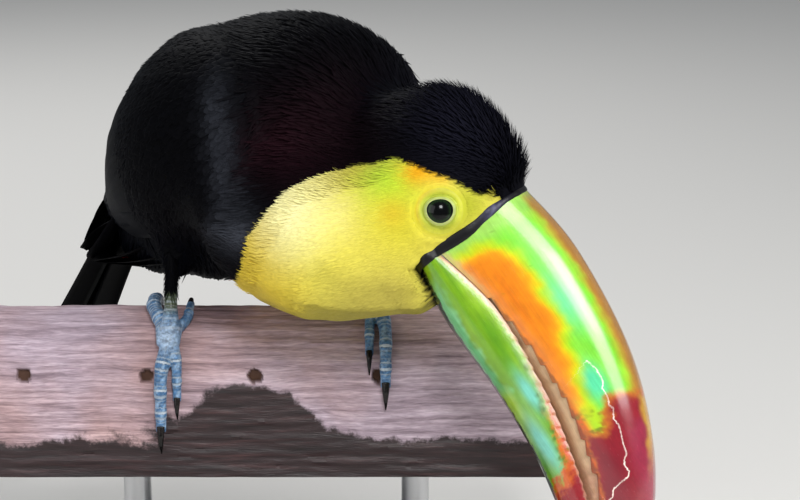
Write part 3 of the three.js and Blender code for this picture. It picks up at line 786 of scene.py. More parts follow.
def foot_mesh(side):
    """One leg from inside the thigh down to its four toe tips, with how far down each plate lies."""
    foot = FEET[side]
    ankle = np.array(foot["ankle"], float)
    sole = on_rail(foot["across"], foot["around"], 4.2)
    heel = ankle + (on_rail(foot["across"], foot["around"], 10) - ankle) * 0.12
    t = np.linspace(0, 1, SHIN_RINGS)
    bones = {"tarsus": heel + (sole - heel) * t[:, None]}
    radii = {"tarsus": TARSUS_RADIUS * (1 + 0.45 * smoothstep(0.75, 1, t) - 0.06 * np.sin(math.pi * t))}
    for digit, toe in TOES.items():
        t = np.linspace(0.0, 0.97, TOE_RINGS)
        swell = sum(np.exp(-(((t - joint) / 0.055) ** 2)) for joint in toe["joints"])
        taper = 1.1 - 0.3 * smoothstep(0, 1, t) + 0.13 * swell
        radii[digit] = toe["radius"] * taper
        bones[digit] = toe_line(foot, toe, t, radii[digit] - 0.3)
    parts = [solid_mesh(str(key), *tube(bones[key], radii[key], LEG_SIDES)) for key in bones]
    # The palm pad under the ankle, and the web between the two front toes: both flattened to the rail.
    pad_across = np.full(PALM_RINGS, foot["across"] + 0.7 * foot["side"])
    pad = on_rail(pad_across, foot["around"] + np.linspace(5.5, -4, PALM_RINGS), 3.0)
    thick = np.interp(np.arange(PALM_RINGS), (0, 4, PALM_RINGS - 1), (3.0, 5.3, 4.4))
    parts.append(solid_mesh("palm", *tube(pad, thick, LEG_SIDES, FLATTENED)))
    along = np.linspace(-0.14, 0.24, 20)
    along = along[along > 0]
    web = np.array([(toe_line(foot, TOES[2], s, 2.4) + toe_line(foot, TOES[3], s, 2.4)) / 2 for s in along])
    parts.append(solid_mesh("web", *tube(web, np.linspace(3.9, 2.4, len(web)), LEG_SIDES, FLATTENED)))
    mesh = melted(parts, f"foot_{side}", 0.42 * MM, 0, 3)
    places = coordinates(mesh) / MM
    count, best = len(places), np.full(len(places), 1e9)
    down, plate_of, bend = np.zeros(count), np.zeros(count), np.zeros(count)
    for number, (key, line) in enumerate(bones.items()):
        reach = np.concatenate([[0], np.cumsum(np.linalg.norm(np.diff(line, axis=0), axis=1))])
        away = np.linalg.norm(places[:, None] - line[None], axis=2) - radii[key][None]
        nearest = away.argmin(1)
        closer = away[np.arange(count), nearest] < best
        best = np.where(closer, away[np.arange(count), nearest], best)
        down = np.where(closer, reach[nearest], down)
        plate_of = np.where(closer, number, plate_of)
        t = np.linspace(0, 0.97, len(line))
        joints = TOES[key]["joints"] if key in TOES else ()
        bent = sum((np.exp(-(((t - joint) / 0.06) ** 2)) for joint in joints), np.full(len(t), 0.12))
        # Plates show where a toe bends, all along the outer toe, and faintly down the shin.
        bent = np.clip(bent, 0, 1) if key in TOES else np.full(len(t), 0.4)
        bent = np.full(len(t), 0.75) if key == 4 else bent
        bend = np.where(closer, bent[nearest], bend)
    return mesh, down, plate_of, bend


# ---- Lids and whole skin ----
# Thin bare skin round each eye, creased in rings, its rim drawn tight over the ball. With it and the legs
# the skin is whole: one hide from the bill's base to the toes.

EYE_PLACE = (-10, 17.0)
EYE_RADIUS = 7.0
LID_EDGE = 4.3
BARE_RADIUS = 7.0
PATCH_RADIUS = 10.7
FACE_JOIN = 9.2  # out to here the skin round the eye is domed; beyond, it follows the face
# How far the skin stands out at each distance from the eye's middle: a rim, two folds, valleys between.
FOLDS = [
    (3.8, -1.1), (4.1, -0.5), (4.25, 0.1), (4.5, 0.36), (4.9, 0.42), (5.3, 0.3), (5.6, 0.12), (5.85, 0.2),
    (6.3, 0.24), (6.9, 0.12), (7.6, 0.0), (8.5, -0.2), (9.2, -0.3), (10.7, -0.4),
]


def eye_centre(side):
    """The middle of an eyeball: as deep as the solid's, and set where the lids open."""
    low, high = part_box(f"eye_{side}")
    _, _, w = in_head([np.array((low + high) / 2)])[0]
    return from_head(*EYE_PLACE, w)


def lid_mesh(side, surface):
    """The skin round one eye, as rings from the lid's inner edge out to where it meets the face."""
    ball = in_head([eye_centre(side)])[0]
    out = 1 if side == "right" else -1
    around = 120
    radii = np.concatenate([np.linspace(3.8, 8.6, 49), np.linspace(8.8, PATCH_RADIUS, 10)])
    angles = np.linspace(0, 2 * math.pi, around, endpoint=False)

    def face_at(radius, angle):
        u, v = ball[0] + radius * math.cos(angle), ball[1] + radius * math.sin(angle)
        start = Vector(from_head(u, v, 40 * out))
        hit = surface.ray_cast(start, Vector(from_head(u, v, 0) - from_head(u, v, 40 * out)))[0]
        return np.nan if hit is None else in_head([hit])[0][2] * out

    rim = np.array([face_at(FACE_JOIN, angle) for angle in angles])
    rim = np.where(np.isfinite(rim), rim, np.nanmean(rim))
    rim = np.convolve(np.concatenate([rim[-6:], rim, rim[:6]]), np.ones(13) / 13, "valid")
    domed = rim.mean() + 0.7
    points, nominal = [], np.repeat(radii, around)
    for radius in radii:
        share = min(radius / FACE_JOIN, 1.0)
        sphere = ball[2] * out + math.sqrt(max(EYE_RADIUS**2 - min(radius, 6.0) ** 2, 0))
        near_ball = 1 - smoothstep(4.9, 7.2, radius)
        for i, angle in enumerate(angles):
            if radius > FACE_JOIN:
                face = face_at(radius, angle)
                face = face if np.isfinite(face) else rim[i]
            else:
                face = domed + (rim[i] - domed) * share**2
            crease = 0.12 * math.sin(5 * angle + 1.3 * radius) * smoothstep(5.2, 7, radius)
            fold = np.interp(radius + crease, *np.array(FOLDS).T)
            sunk = -0.9 * smoothstep(9.9, PATCH_RADIUS, radius)
            height = (near_ball * sphere + (1 - near_ball) * face) + fold + sunk
            lens = 0.05 * math.cos(2 * (angle - 1.0)) + 0.025 * math.cos(3 * (angle + 0.5))
            oval = 1 + lens * (1 - smoothstep(6, 9, radius))
            over_ball = ball[2] * out + math.sqrt(max(EYE_RADIUS**2 - (radius * oval) ** 2, 0))
            if 4.25 < radius < 6.8:
                height = max(height, over_ball + 0.15)
            u, v = ball[0] + radius * oval * math.cos(angle), ball[1] + radius * oval * math.sin(angle)
            points.append(from_head(min(u, -0.4), v, height * out))
    faces = ring_faces(len(radii), around)
    if out < 0:
        faces = [face[::-1] for face in faces]
    return np.array(points), faces, nominal


form.vertices.foreach_set("co", skin_points.astype(np.float32).ravel())
form.update()
face_surface = surface_of(form)
lids = {side: lid_mesh(side, face_surface) for side in ("right", "left")}
feet = {side: foot_mesh(side) for side in ("right", "left")}


def eye_away(points):
    """How far each point lies from the middle of the eye on its own side, in the head's side view."""
    u, v, w = in_head(points).T
    return np.where(np.abs(w) > 8, np.hypot(u - EYE_PLACE[0], v - EYE_PLACE[1]), 99)


under_lid = smoothstep(PATCH_RADIUS - 0.4, PATCH_RADIUS - 2.2, eye_away(skin_points))
normals = point_normals(form)
sunk_points = skin_points - normals * (1.3 * MM * under_lid)[:, None]
form.vertices.foreach_set("co", sunk_points.astype(np.float32).ravel())
whole = bmesh.new()
whole.from_mesh(form)
counts = {"body": len(whole.verts)}
for side in ("right", "left"):
    places, faces, _ = lids[side]
    patch = bpy.data.meshes.new(f"lid_{side}")
    patch.from_pydata([tuple(p) for p in places], [], faces)
    whole.from_mesh(patch)
counts["lids"] = len(whole.verts) - counts["body"]
for side in ("right", "left"):
    whole.from_mesh(feet[side][0])
counts["feet"] = len(whole.verts) - counts["body"] - counts["lids"]
skin_mesh = bpy.data.meshes.new("skin")
whole.to_mesh(skin_mesh)
whole.free()
skin_mesh.shade_smooth()
part_of = np.repeat([0, 1, 2], [counts["body"], counts["lids"], counts["feet"]])

# Leg hide: horny plates, cold blue on the toes and olive grey up the shank, pale in the creases.
scaly_hide, tree = material_named("scaly_leg_hide")
tint = attribute(tree, "tint", "Color")
down = attribute(tree, "down")
place = add(tree, "ShaderNodeTexCoord").outputs["Object"]
wander = add(tree, "ShaderNodeTexNoise", {"Vector": place, "Scale": 420.0, "Detail": 2.0})
bend = attribute(tree, "bend")
shifted = add(tree, "ShaderNodeMath", {0: wander.outputs[0], 1: 0.5, 2: down}, operation="MULTIPLY_ADD")
plates = add(tree, "ShaderNodeMath", {0: shifted.outputs[0], 1: 0.85}, operation="PINGPONG")
joint = {0: plates.outputs[0], 1: 0.5, 2: 0.1}
between = add(tree, "ShaderNodeMapRange", joint, interpolation_type="SMOOTHSTEP")
shown = add(tree, "ShaderNodeMath", {0: between.outputs[0], 1: bend}, operation="MULTIPLY")
crease = add(tree, "ShaderNodeMath", {0: 1.0, 1: shown.outputs[0]}, operation="SUBTRACT")
cells = add(tree, "ShaderNodeTexVoronoi", {"Vector": place, "Scale": 900.0}, feature="DISTANCE_TO_EDGE")
cracks = add(tree, "ShaderNodeMapRange", {0: cells.outputs[0], 1: 0.0, 2: 0.12})
mottle = add(tree, "ShaderNodeTexNoise", {"Vector": place, "Scale": 900.0, "Detail": 4.0})
share = add(tree, "ShaderNodeMapRange", {0: mottle.outputs[0], 1: 0.3, 2: 0.7, 3: 0.5, 4: 1.4})
hide = mixed(tree, 1.0, tint, share.outputs[0], "MULTIPLY")
colour = mixed(tree, crease.outputs[0], linear("#b4c0cb"), hide)
cut = {0: cracks.outputs[0], 1: 0.35, 2: crease.outputs[0]}
relief = add(tree, "ShaderNodeMath", cut, operation="MULTIPLY_ADD")
raised = {"Strength": 1.0, "Distance": 0.4 * MM, "Height": relief.outputs[0]}
depth_node = add(tree, "ShaderNodeBump", raised)
surfaced(tree, {
    "Base Color": colour,
    "Roughness": 0.45,
    "Normal": depth_node.outputs[0],
    "Coat Weight": 0.12,
    "Coat Roughness": 0.3,
})

skin = in_scene("skin", skin_mesh)
for material in (black_plumage, bright_plumage, bare_skin, scaly_hide):
    skin_mesh.materials.append(material)
points, normals = coordinates(skin_mesh), point_normals(skin_mesh)
u, v, _ = in_head(points).T
yellow = yellow_by(points)
from_eye = eye_away(points)
from_eye[part_of == 1] = np.concatenate([lids["right"][2], lids["left"][2]])
eye_turn = np.arctan2(v - EYE_PLACE[1], u - EYE_PLACE[0])
colour = plumage_colour(points)
horn_away = np.full(len(points), 9.0)
for i in np.flatnonzero((part_of == 0) & (u > -8)):
    nearest, outwards, _, distance = bill_surface.find_nearest(Vector(points[i]))
    buried_in = (Vector(points[i]) - nearest).dot(outwards) < 0
    horn_away[i] = 0 if buried_in else min(distance / MM, 9.0)
horn_away = np.where(v < 2, horn_away, 9)
colour = blend_in(colour, "#0d0b0b", smoothstep(1.7, 1.1, horn_away))
bare, brush = painter(points, "#b4b52a")
rearwards = smoothstep(0.2, 1.0, -np.cos(eye_turn - 0.6))
brush("#cda21a", 0.85 * rearwards * smoothstep(6.2, 9, from_eye))
brush("#aab434", smoothstep(7.2, 5.8, from_eye))
brush("#a8b468", smoothstep(5.5, 5.1, from_eye))
# Painted shade: a thin darker ring in the valley between the lid's two folds.
brush("#7f8f24", 0.5 * np.exp(-(((from_eye - 5.6) / 0.14) ** 2)))
brush("#14160c", smoothstep(4.48, 4.3, from_eye))
is_bare = smoothstep(BARE_RADIUS + 2.5, BARE_RADIUS, from_eye)
colour = colour + (bare - colour) * is_bare[:, None]
down = np.concatenate([np.zeros((part_of < 2).sum()), feet["right"][1], feet["left"][1]])
plate_of = np.concatenate([np.zeros((part_of < 2).sum()), feet["right"][2], feet["left"][2]])
bend = np.concatenate([np.zeros((part_of < 2).sum()), feet["right"][3], feet["left"][3]])
is_leg = part_of == 2
bend = bend * smoothstep(crest + 14 * MM, crest + 9 * MM, points[:, 2])
leg, brush = painter(points, "#45719c")
brush("#7f9fc0", smoothstep(-0.2, 1.0, noise(points, 4 * MM, 41)))
# Painted light: the top of each palm is painted paler where it faces the light.
for foot in FEET.values():
    palm_top = on_rail(foot["across"] + foot["side"], foot["around"] - 2, 5) * MM
    brush("#b3c6dc", 0.8 * np.exp(-(np.sum((points - palm_top) ** 2, 1) / (5 * MM) ** 2)))
brush("#4b5540", (plate_of == 0) * smoothstep(crest + 1 * MM, crest + 6 * MM, points[:, 2]))
brush("#050507", (plate_of == 0) * smoothstep(crest + 8.5 * MM, crest + 11.5 * MM, points[:, 2]))
colour = np.where(is_leg[:, None], leg, colour)
set_attribute(skin_mesh, "tint", colour)
set_attribute(skin_mesh, "down", down)
set_attribute(skin_mesh, "bend", bend)
set_attribute(skin_mesh, "along", np.ones(len(points)))
set_attribute(skin_mesh, "shade", np.full(len(points), 0.5))
set_attribute(skin_mesh, "lie", lie_of(points, normals))
is_shin = is_leg & (points[:, 2] < crest + 9.5 * MM)
feather_finish = (yellow > 0) & ~is_leg
finish_of = np.where(is_shin, 3, np.where(from_eye < BARE_RADIUS + 1, 2, feather_finish)).astype(int)
first_corner = [polygon.vertices[0] for polygon in skin_mesh.polygons]
skin_mesh.polygons.foreach_set("material_index", finish_of[first_corner])
bpy.context.view_layer.objects.active = skin
skin.select_set(True)
bpy.ops.object.mode_set(mode="EDIT")
bpy.ops.mesh.select_all(action="SELECT")
bpy.ops.uv.smart_project(angle_limit=math.radians(66), island_margin=0.003)
bpy.ops.object.mode_set(mode="OBJECT")
skin_mesh.uv_layers[0].name = "OFBake"
LEG_NODES = []
for side in FEET:
    LEG_NODES += [f"tarsus_{side}", *(f"toe_{side}_{digit}" for digit in TOES)]
fix_to_frame(skin, "plumage_black", *FLESH, *LEG_NODES)

# ---- Eyes ----
# Two blown glass eyes, set into clay under the lids. Each has a wide black pupil, a dark green-brown iris
# fired on behind the glass, and a clear polished face.

# Glass eye: the iris is painted behind clear glass, which is polished to a wet shine.
glass_eye, tree = material_named("painted_glass_eye")
around_pupil = attribute(tree, "from_middle")
spokes = attribute(tree, "spoke", "Vector")
fine = add(tree, "ShaderNodeTexNoise", {"Vector": spokes, "Scale": 9.0, "Detail": 4.0})
frayed = {0: fine.outputs[0], 1: 0.25, 2: around_pupil}
ragged = add(tree, "ShaderNodeMath", frayed, operation="MULTIPLY_ADD")
iris = add(tree, "ShaderNodeValToRGB", {0: ragged.outputs[0]})
set_ramp(iris, (0.0, "#010102"), (0.66, "#020203"), (0.76, "#0a120b"), (0.92, "#1d3314"), (1.0, "#040604"))
surfaced(tree, {
    "Base Color": iris.outputs[0],
    "Roughness": 0.16,
    "Specular IOR Level": 0.12,
    "Coat Weight": 0.2,
    "Coat Roughness": 0.03,
})
for side, out in (("right", 1), ("left", -1)):
    rows, around = 48, 64
    tilt = np.linspace(0, math.pi, rows + 2)[1:-1]
    turn = np.linspace(0, 2 * math.pi, around, endpoint=False)
    wide, high = np.sin(tilt)[:, None], np.cos(tilt)[:, None]
    ball = np.stack([wide * np.cos(turn), wide * np.sin(turn), high + 0 * turn], -1).reshape(-1, 3)
    ball = np.vstack([ball, (0, 0, 1), (0, 0, -1)]) * (1, 1, out)
    faces = capped_faces(rows, around)
    if out > 0:
        faces = [tuple(face)[::-1] for face in faces]
    places = eye_centre(side) + ball @ HEAD * EYE_RADIUS * MM
    piece = object_from(f"eye_{side}_glass", places, faces, glass_eye)
    away = np.hypot(ball[:, 0], ball[:, 1]) * EYE_RADIUS / LID_EDGE
    set_attribute(piece.data, "from_middle", np.where(ball[:, 2] * out > 0, away * 0.9, 1.0))
    set_attribute(piece.data, "spoke", ball * np.array([1, 1, 0]) / np.maximum(away, 0.2)[:, None])
    fix_to_frame(piece, "eye", f"eye_{side}")

# ---- Claws ----
# Hollow sheaths of near-black horn on the last bone of each toe, curved down and drawn to a point.

claw_horn, tree = material_named("dark_claw_horn")
place = add(tree, "ShaderNodeTexCoord").outputs["Object"]
streaks = add(tree, "ShaderNodeTexNoise", {"Vector": place, "Scale": 700.0, "Detail": 3.0})
tone = add(tree, "ShaderNodeValToRGB", {0: streaks.outputs[0]})
set_ramp(tone, (0.35, "#060505"), (0.65, "#1a1615"))
surfaced(tree, {"Base Color": tone.outputs[0], "Roughness": 0.2, "Specular IOR Level": 0.3})
for side, foot in FEET.items():
    for digit, toe in TOES.items():
        t = np.linspace(0, 1, 30)
        length = toe["claw"] / abs(toe["reach"])
        rise = np.interp(t, (0, 0.33, 0.67, 1), (0.95, 1.3, 1.15, 0.4)) * toe["radius"]
        line = toe_line(foot, toe, 0.92 + (length + 0.02) * t, rise)
        thickness = 0.66 * toe["radius"] * (1 - 0.86 * t**1.3)
        points_of, faces = tube(line, thickness, 20)
        claw = object_from(f"claw_{side}_{digit}_horn", points_of, faces, claw_horn)
        face_outwards(claw.data)
        fix_to_frame(claw, "claw", f"claw_{side}_{digit}")

# ---- Bill ----
# Two curved blades of thin horn over a light bony foam, joined at the gape. Horn grows forward from the
# base, so its marks run lengthways, and both cutting edges are broken into coarse forward-facing steps.


def spline(knots, t):
    """Points on a smooth curve through the knots, for shares t of its length in knots."""
    knots = np.asarray(knots, float)
    last = len(knots) - 1
    where = np.clip(np.asarray(t, float), 0, 1) * last
    i = np.minimum(where.astype(int), last - 1)
    s = (where - i)[:, None]
    before, a, b, after = (knots[np.clip(i + k, 0, last)] for k in (-1, 0, 1, 2))
    pull_a, pull_b = (b - before) / 2, (after - a) / 2
    cubic, square = 2 * a - 2 * b + pull_a + pull_b, 3 * b - 3 * a - 2 * pull_a - pull_b
    return cubic * s**3 + square * s**2 + pull_a * s + a


def graph(knots, x):
    """A smooth function through a few (input, output) knots."""
    xs, ys = np.asarray(knots, float).T
    slopes = np.gradient(ys, xs)
    i = np.clip(np.searchsorted(xs, x) - 1, 0, len(xs) - 2)
    gap = xs[i + 1] - xs[i]
    s = np.clip((x - xs[i]) / gap, 0, 1)
    rise = (2 * s**3 - 3 * s**2 + 1) * ys[i] + (3 * s**2 - 2 * s**3) * ys[i + 1]
    return rise + gap * ((s**3 - 2 * s**2 + s) * slopes[i] + (s**3 - s**2) * slopes[i + 1])


BILL_HALF_WIDTH = 16.5
# Each blade's ridge and cutting edge (forward, up), its width along it, its section up one side by
# (height, width), how far its inner face bulges between its edges, and how its steps run.
UPPER = {
    "ridge": [(0, 47.2), (28, 50.6), (68, 46.3), (100, 34.8), (124, 18.5), (138, 1), (144, -16)],
    "edge": [(0, 8.6), (30, 14.9), (65, 16.8), (92, 12), (113, 3.4), (130, -8), (143, -18)],
    "width": [(0, 1), (0.25, 0.93), (0.5, 0.76), (0.75, 0.46), (0.92, 0.22), (1, 0.07)],
    "section": [
        (0, 0.84), (0.12, 0.93), (0.33, 1), (0.58, 0.97), (0.78, 0.8), (0.91, 0.54), (0.98, 0.22), (1, 0),
    ],
    "inner": -5.4,
    "flat": 0.0,
    "steps": {"first": 24, "last": 128, "gap": 8.6, "depth": 1.5, "seed": 5},
}
LOWER = {
    "ridge": [(0, 0), (24, -2.6), (53, -1.7), (79, -2.9), (101, -6.7), (120, -11.6), (136, -17.2)],
    "edge": [(0, 8.2), (29, 14.4), (60, 12.8), (85, 8.2), (106, 2.4), (122, -6), (135, -15.4)],
    "width": [(0, 0.9), (0.25, 0.84), (0.5, 0.68), (0.75, 0.42), (0.92, 0.2), (1, 0.08)],
    "section": [(0, 0.9), (0.3, 1), (0.6, 0.96), (0.82, 0.78), (0.95, 0.45), (1, 0)],
    "inner": -2.0,
    "flat": -1.2,
    "steps": {"first": 38, "last": 118, "gap": 5.0, "depth": 0.6, "seed": 8},
}
BILL_RINGS = 300
BILL_SIDE = 56  # points up one side of a blade
LIP = 0.9  # thickness of the horn at the cutting edge, in millimetres
BLUNT_TIP = 0.985


def step_depth(steps, u):
    """How far the cutting edge is broken back at u: a saw of uneven steps, each full at first."""
    rng = np.random.default_rng(steps["seed"])
    marks = [steps["first"]]
    while marks[-1] < steps["last"]:
        marks.append(marks[-1] + steps["gap"] * rng.uniform(0.65, 1.4))
    marks = np.array(marks)
    i = np.clip(np.searchsorted(marks, u) - 1, 0, len(marks) - 2)
    share = (u - marks[i]) / (marks[i + 1] - marks[i])
    depth = smoothstep(0, 0.12, share) * (1 - share) * steps["depth"] * rng.uniform(0.6, 1.2, len(marks))[i]
    return np.where((u > marks[0]) & (u < marks[-1]), depth - 0.45 * steps["depth"], 0)


def blade(shape):
    """(forward, up, aside) of a blade's points, ring by ring, and which of a ring lie inside the bill."""
    t = BLUNT_TIP * np.linspace(0, 1, BILL_RINGS) ** 0.96
    low, high = spline(shape["edge"], t), spline(shape["ridge"], t)
    across = BILL_HALF_WIDTH * graph(shape["width"], t)
    parted = smoothstep(0.1, 0.2, t) * (1 - smoothstep(0.78, 1, t))
    bitten = step_depth(shape["steps"], low[:, 0])
    spread = np.linspace(0, 1, BILL_SIDE) ** 0.9
    climb, wide = spline(shape["section"], spread).T
    climb[0] = 0
    bite = np.exp(-(np.arange(BILL_SIDE) ** 2) / 11.0)
    rise = high - low
    length = np.linalg.norm(rise, axis=1)
    side = []
    for height, width, near in zip(climb, wide, bite):
        lifted = (height * length + near * bitten * (1 - height))[:, None] * rise / length[:, None]
        side.append(np.column_stack([low + lifted, across * width]))
    edge_width = across * shape["section"][0][1]
    inner = []
    for x in np.linspace(-1, 1, 13):
        sunk = shape["flat"] * (1 - x**4) + shape["inner"] * parted * (1 - x * x)
        lift = (bitten * (abs(x) == 1))[:, None] * rise / length[:, None]
        flat = low + lift + np.column_stack([0 * t, sunk])
        inner.append(np.column_stack([flat, x * np.maximum(edge_width - LIP, 0.3 * edge_width)]))
    mirrored = [np.column_stack([s[:, :2], -s[:, 2]]) for s in side[:-1]][::-1]
    rings = np.stack([*side, *mirrored, *inner], 1)
    hidden = np.zeros(rings.shape[1])
    hidden[2 * BILL_SIDE - 1 :] = 1
    return rings, hidden


def line_away(corners, u, v):
    """The distance of each (u, v) from an open line of points, negative to the line's right."""
    nearest, side = np.full(len(u), 1e9), np.ones(len(u))
    last = len(corners) - 2
    for i, ((ax, ay), (bx, by)) in enumerate(zip(corners, corners[1:])):
        dx, dy = bx - ax, by - ay
        t = np.clip(((u - ax) * dx + (v - ay) * dy) / (dx * dx + dy * dy), 0, 1)
        away = np.hypot(u - ax - t * dx, v - ay - t * dy)
        beyond = ((t <= 0) & (i == 0)) | ((t >= 1) & (i == last))
        side = np.where(away < nearest, np.where(beyond, 1, np.sign(dx * (v - ay) - dy * (u - ax))), side)
        nearest = np.minimum(nearest, away)
    return nearest * side


def oval(u, v, centre, radii):
    """1 at a place on the bill's side, fading to 0 over an oval round it."""
    return np.exp(-(((u - centre[0]) / radii[0]) ** 2) - ((v - centre[1]) / radii[1]) ** 2)


FLAME = [
    (10, 10), (9.5, 15), (9.8, 19.7), (11.5, 23.2), (14.6, 26.5), (19.2, 28.6), (31, 29.2), (44, 28.6),
    (55, 25.8), (62.8, 23), (70.4, 20.4), (77, 18.5), (86, 15), (92, 10), (75, 8), (45, 11), (25, 11.5),
]
RED_TIP = [
    (72, 8), (79, 15.5), (84.5, 17), (86, 21), (81.5, 25), (77, 29), (77.5, 33), (80.5, 38), (85, 46),
    (120, 52), (170, 0), (150, -40), (100, -20),
]
CRACK = [
    (61.9, 30.4), (66, 31.6), (70.7, 31.3), (73, 29.6), (76.4, 29.5), (79.5, 28.1), (80.4, 29),
    (84.2, 26.9), (87, 27.2), (91, 25.8), (94, 24.6), (96.7, 24), (98.4, 21.8), (100.1, 21),
    (102.5, 21.2), (104, 19.8), (104.3, 16), (104.9, 13), (107, 11.4), (107.6, 9),
]


def upper_colour(points, local, hidden):
    u, v, _ = local.T
    gentle = noise(points, 11 * MM, 21) + 0.5 * noise(points, 5 * MM, 24)
    ragged = noise(points, 4 * MM, 25) + 0.7 * noise(points, 1.7 * MM, 22)
    streaks = 0.5 + 0.5 * noise(local * np.array([0.1, 1, 1]), 4, 23)
    edge_away = np.abs(line_away(spline(UPPER["edge"], np.linspace(0, 1, 40)), u, v))
    ridge_away = np.abs(line_away(spline(UPPER["ridge"], np.linspace(0, 1, 40)), u, v))
    colour, brush = painter(points, "#6ac00c")
    brush("#8ad02c", 0.5 * streaks)
    brush("#94be58", 0.8 * smoothstep(12, 3, u + gentle))
    brush("#7cd848", oval(u, v, (22, 38), (14, 8)))
    brush("#66d896", 0.8 * oval(u, v, (40, 35.5), (11, 4.5)))
    brush("#54cc94", 1.2 * oval(u, v, (69.5, 28.5), (7.5, 4)))
    brush("#b09a28", 0.9 * smoothstep(7.5, 3.0, ridge_away + 0.7 * gentle) * smoothstep(4, 16, u))
    brush("#a06820", 0.9 * smoothstep(5.2, 2.4, ridge_away + 0.4 * gentle) * smoothstep(-2, 6, u))
    flame = inside_by(FLAME, u, v) + 0.7 * gentle
    brush("#bcc800", smoothstep(-6.0, -1.0, flame))
    brush("#e29600", smoothstep(-2.6, 1.2, flame))
    brush("#da7a00", smoothstep(-0.4, 3.6, flame))
    brush("#cc6600", 0.5 * smoothstep(3.5, 8.5, flame) * streaks)
    red = inside_by(RED_TIP, u, v) + 0.8 * gentle + 0.35 * ragged
    brush("#b5d21c", 0.7 * smoothstep(-9, -3, red) * smoothstep(26, 22, v) * smoothstep(17, 20, v))
    brush("#cf5a0c", smoothstep(-11, -1, red) * smoothstep(19.5, 16.5, v + 0.5 * gentle))
    mossy = smoothstep(-6, -1.5, red) * smoothstep(26, 22, v)
    brush("#56690c", 0.85 * mossy * smoothstep(0.1, 0.7, ragged))
    brush("#b5621c", smoothstep(-2.6, 0.6, red))
    brush("#820f1e", smoothstep(-0.5, 3.4, red) * smoothstep(0.6, 2.4, edge_away + 0.3 * ragged))
    deep = smoothstep(3, 10, red) * smoothstep(1.5, 4, edge_away)
    brush("#740a1e", deep * smoothstep(30, 20, v + 0.25 * (u - 85)))
    # Towards the ridge the red is rosier: partly its own colour, partly a painted sheen.
    brush("#8c2440", 0.7 * smoothstep(6, 14, red) * smoothstep(24, 32, v + 0.25 * (u - 85)))
    brush("#c4541c", smoothstep(1.5, 0.6, edge_away + 0.25 * ragged) * smoothstep(70, 84, u))
    stripe = smoothstep(4.2, 1.8, ridge_away + 0.5 * gentle) * smoothstep(0, 3, red)
    brush("#b98e2a", 0.9 * stripe * smoothstep(112, 94, u))
    brush("#b9a06a", 0.7 * smoothstep(2.6, 0.9, edge_away + 0.3 * ragged) * smoothstep(34, 12, u))
    outline = smoothstep(0.75, 0.3, edge_away - np.abs(step_depth(UPPER["steps"], u))) * (u > 26)
    brush("#5a2c14", 0.7 * outline)
    freckles = noise(points, 1.6 * MM, 26) + 0.6 * noise(points, 0.8 * MM, 27)
    brush("#4c5a18", 0.35 * smoothstep(1.9, 2.3, freckles) * smoothstep(50, 8, u))
    brush("#e8cda6", hidden)
    brush("#c08a78", 0.7 * hidden * smoothstep(84, 104, u + 2 * ragged))
    brush("#c09c70", 0.3 * hidden * smoothstep(0, 1.2, noise(local * np.array([0.12, 1, 1]), 1.6, 28)))
    return colour


def lower_colour(points, local, hidden):
    u, v, _ = local.T
    gentle = noise(points, 9 * MM, 31) + 0.5 * noise(points, 4 * MM, 34)
    ragged = noise(points, 4 * MM, 35) + 0.7 * noise(points, 1.7 * MM, 32)
    edge_away = np.abs(line_away(spline(LOWER["edge"], np.linspace(0, 1, 40)), u, v))
    keel_away = np.abs(line_away(spline(LOWER["ridge"], np.linspace(0, 1, 40)), u, v))
    colour, brush = painter(points, "#5e9202")
    brush("#74a00c", 0.4 + 0.4 * noise(local * np.array([0.12, 1, 1]), 3, 33))
    brush("#93b820", 0.7 * oval(u, v, (20, 11), (13, 3)))
    # Painted shade: a darker green blot on the blade's side.
    brush("#4f8a06", 0.8 * oval(u, v, (36, 8.5), (10, 2.6)))
    low_band = smoothstep(4.8, 2.0, keel_away + 0.8 * gentle) * smoothstep(6, 16, u)
    brush("#78c486", low_band * smoothstep(64, 50, u))
    brush("#b4cf2a", 0.7 * smoothstep(5, 2.4, keel_away) * smoothstep(52, 60, u) * smoothstep(84, 72, u))
    brush("#6fbda8", 1.2 * oval(u, v, (60, 7.6), (7.5, 2.2)))
    brush("#6cb8a4", 1.2 * oval(u, v, (78, 1.6), (11, 2.8)))
    mottle = smoothstep(0.3, 1.6, gentle + 0.3 * ragged)
    dusky = 0.55 * mottle * smoothstep(5.4, 3.8, edge_away) * smoothstep(42, 50, u)
    brush("#3f4d16", dusky * smoothstep(92, 80, u))
    red = u - 93 + 1.2 * ragged + 0.45 * (v + 3)
    brush("#c9641a", smoothstep(4.4, 2.4, edge_away + 0.7 * ragged) * smoothstep(62, 84, u))
    brush("#b54430", 0.8 * smoothstep(2.2, 1.0, edge_away + 0.3 * ragged) * smoothstep(46, 70, u))
    brush("#4e6a12", 0.8 * smoothstep(-8, -2, red) * mottle)
    brush("#b8541c", smoothstep(-3, 1.0, red))
    brush("#86141e", smoothstep(1, 6, red))
    worn_edge = smoothstep(1.7, 0.8, edge_away + 0.25 * ragged) * smoothstep(52, 34, u)
    brush("#d6b48c", worn_edge * smoothstep(1, 5, u))
    brush("#a8795f", 0.8 * smoothstep(0.8, 0.3, edge_away + 0.2 * ragged) * smoothstep(1, 5, u))
    # A black line along the keel: black hide near the base, and beyond it a painted shadow of the bill.
    from_keel = keel_away - (0.4 + 0.9 * smoothstep(40, 14, u)) + 0.15 * ragged
    brush("#14120d", 0.9 * smoothstep(0.5, 0, from_keel) * smoothstep(112, 92, u))
    brush("#c99a80", hidden)
    return colour


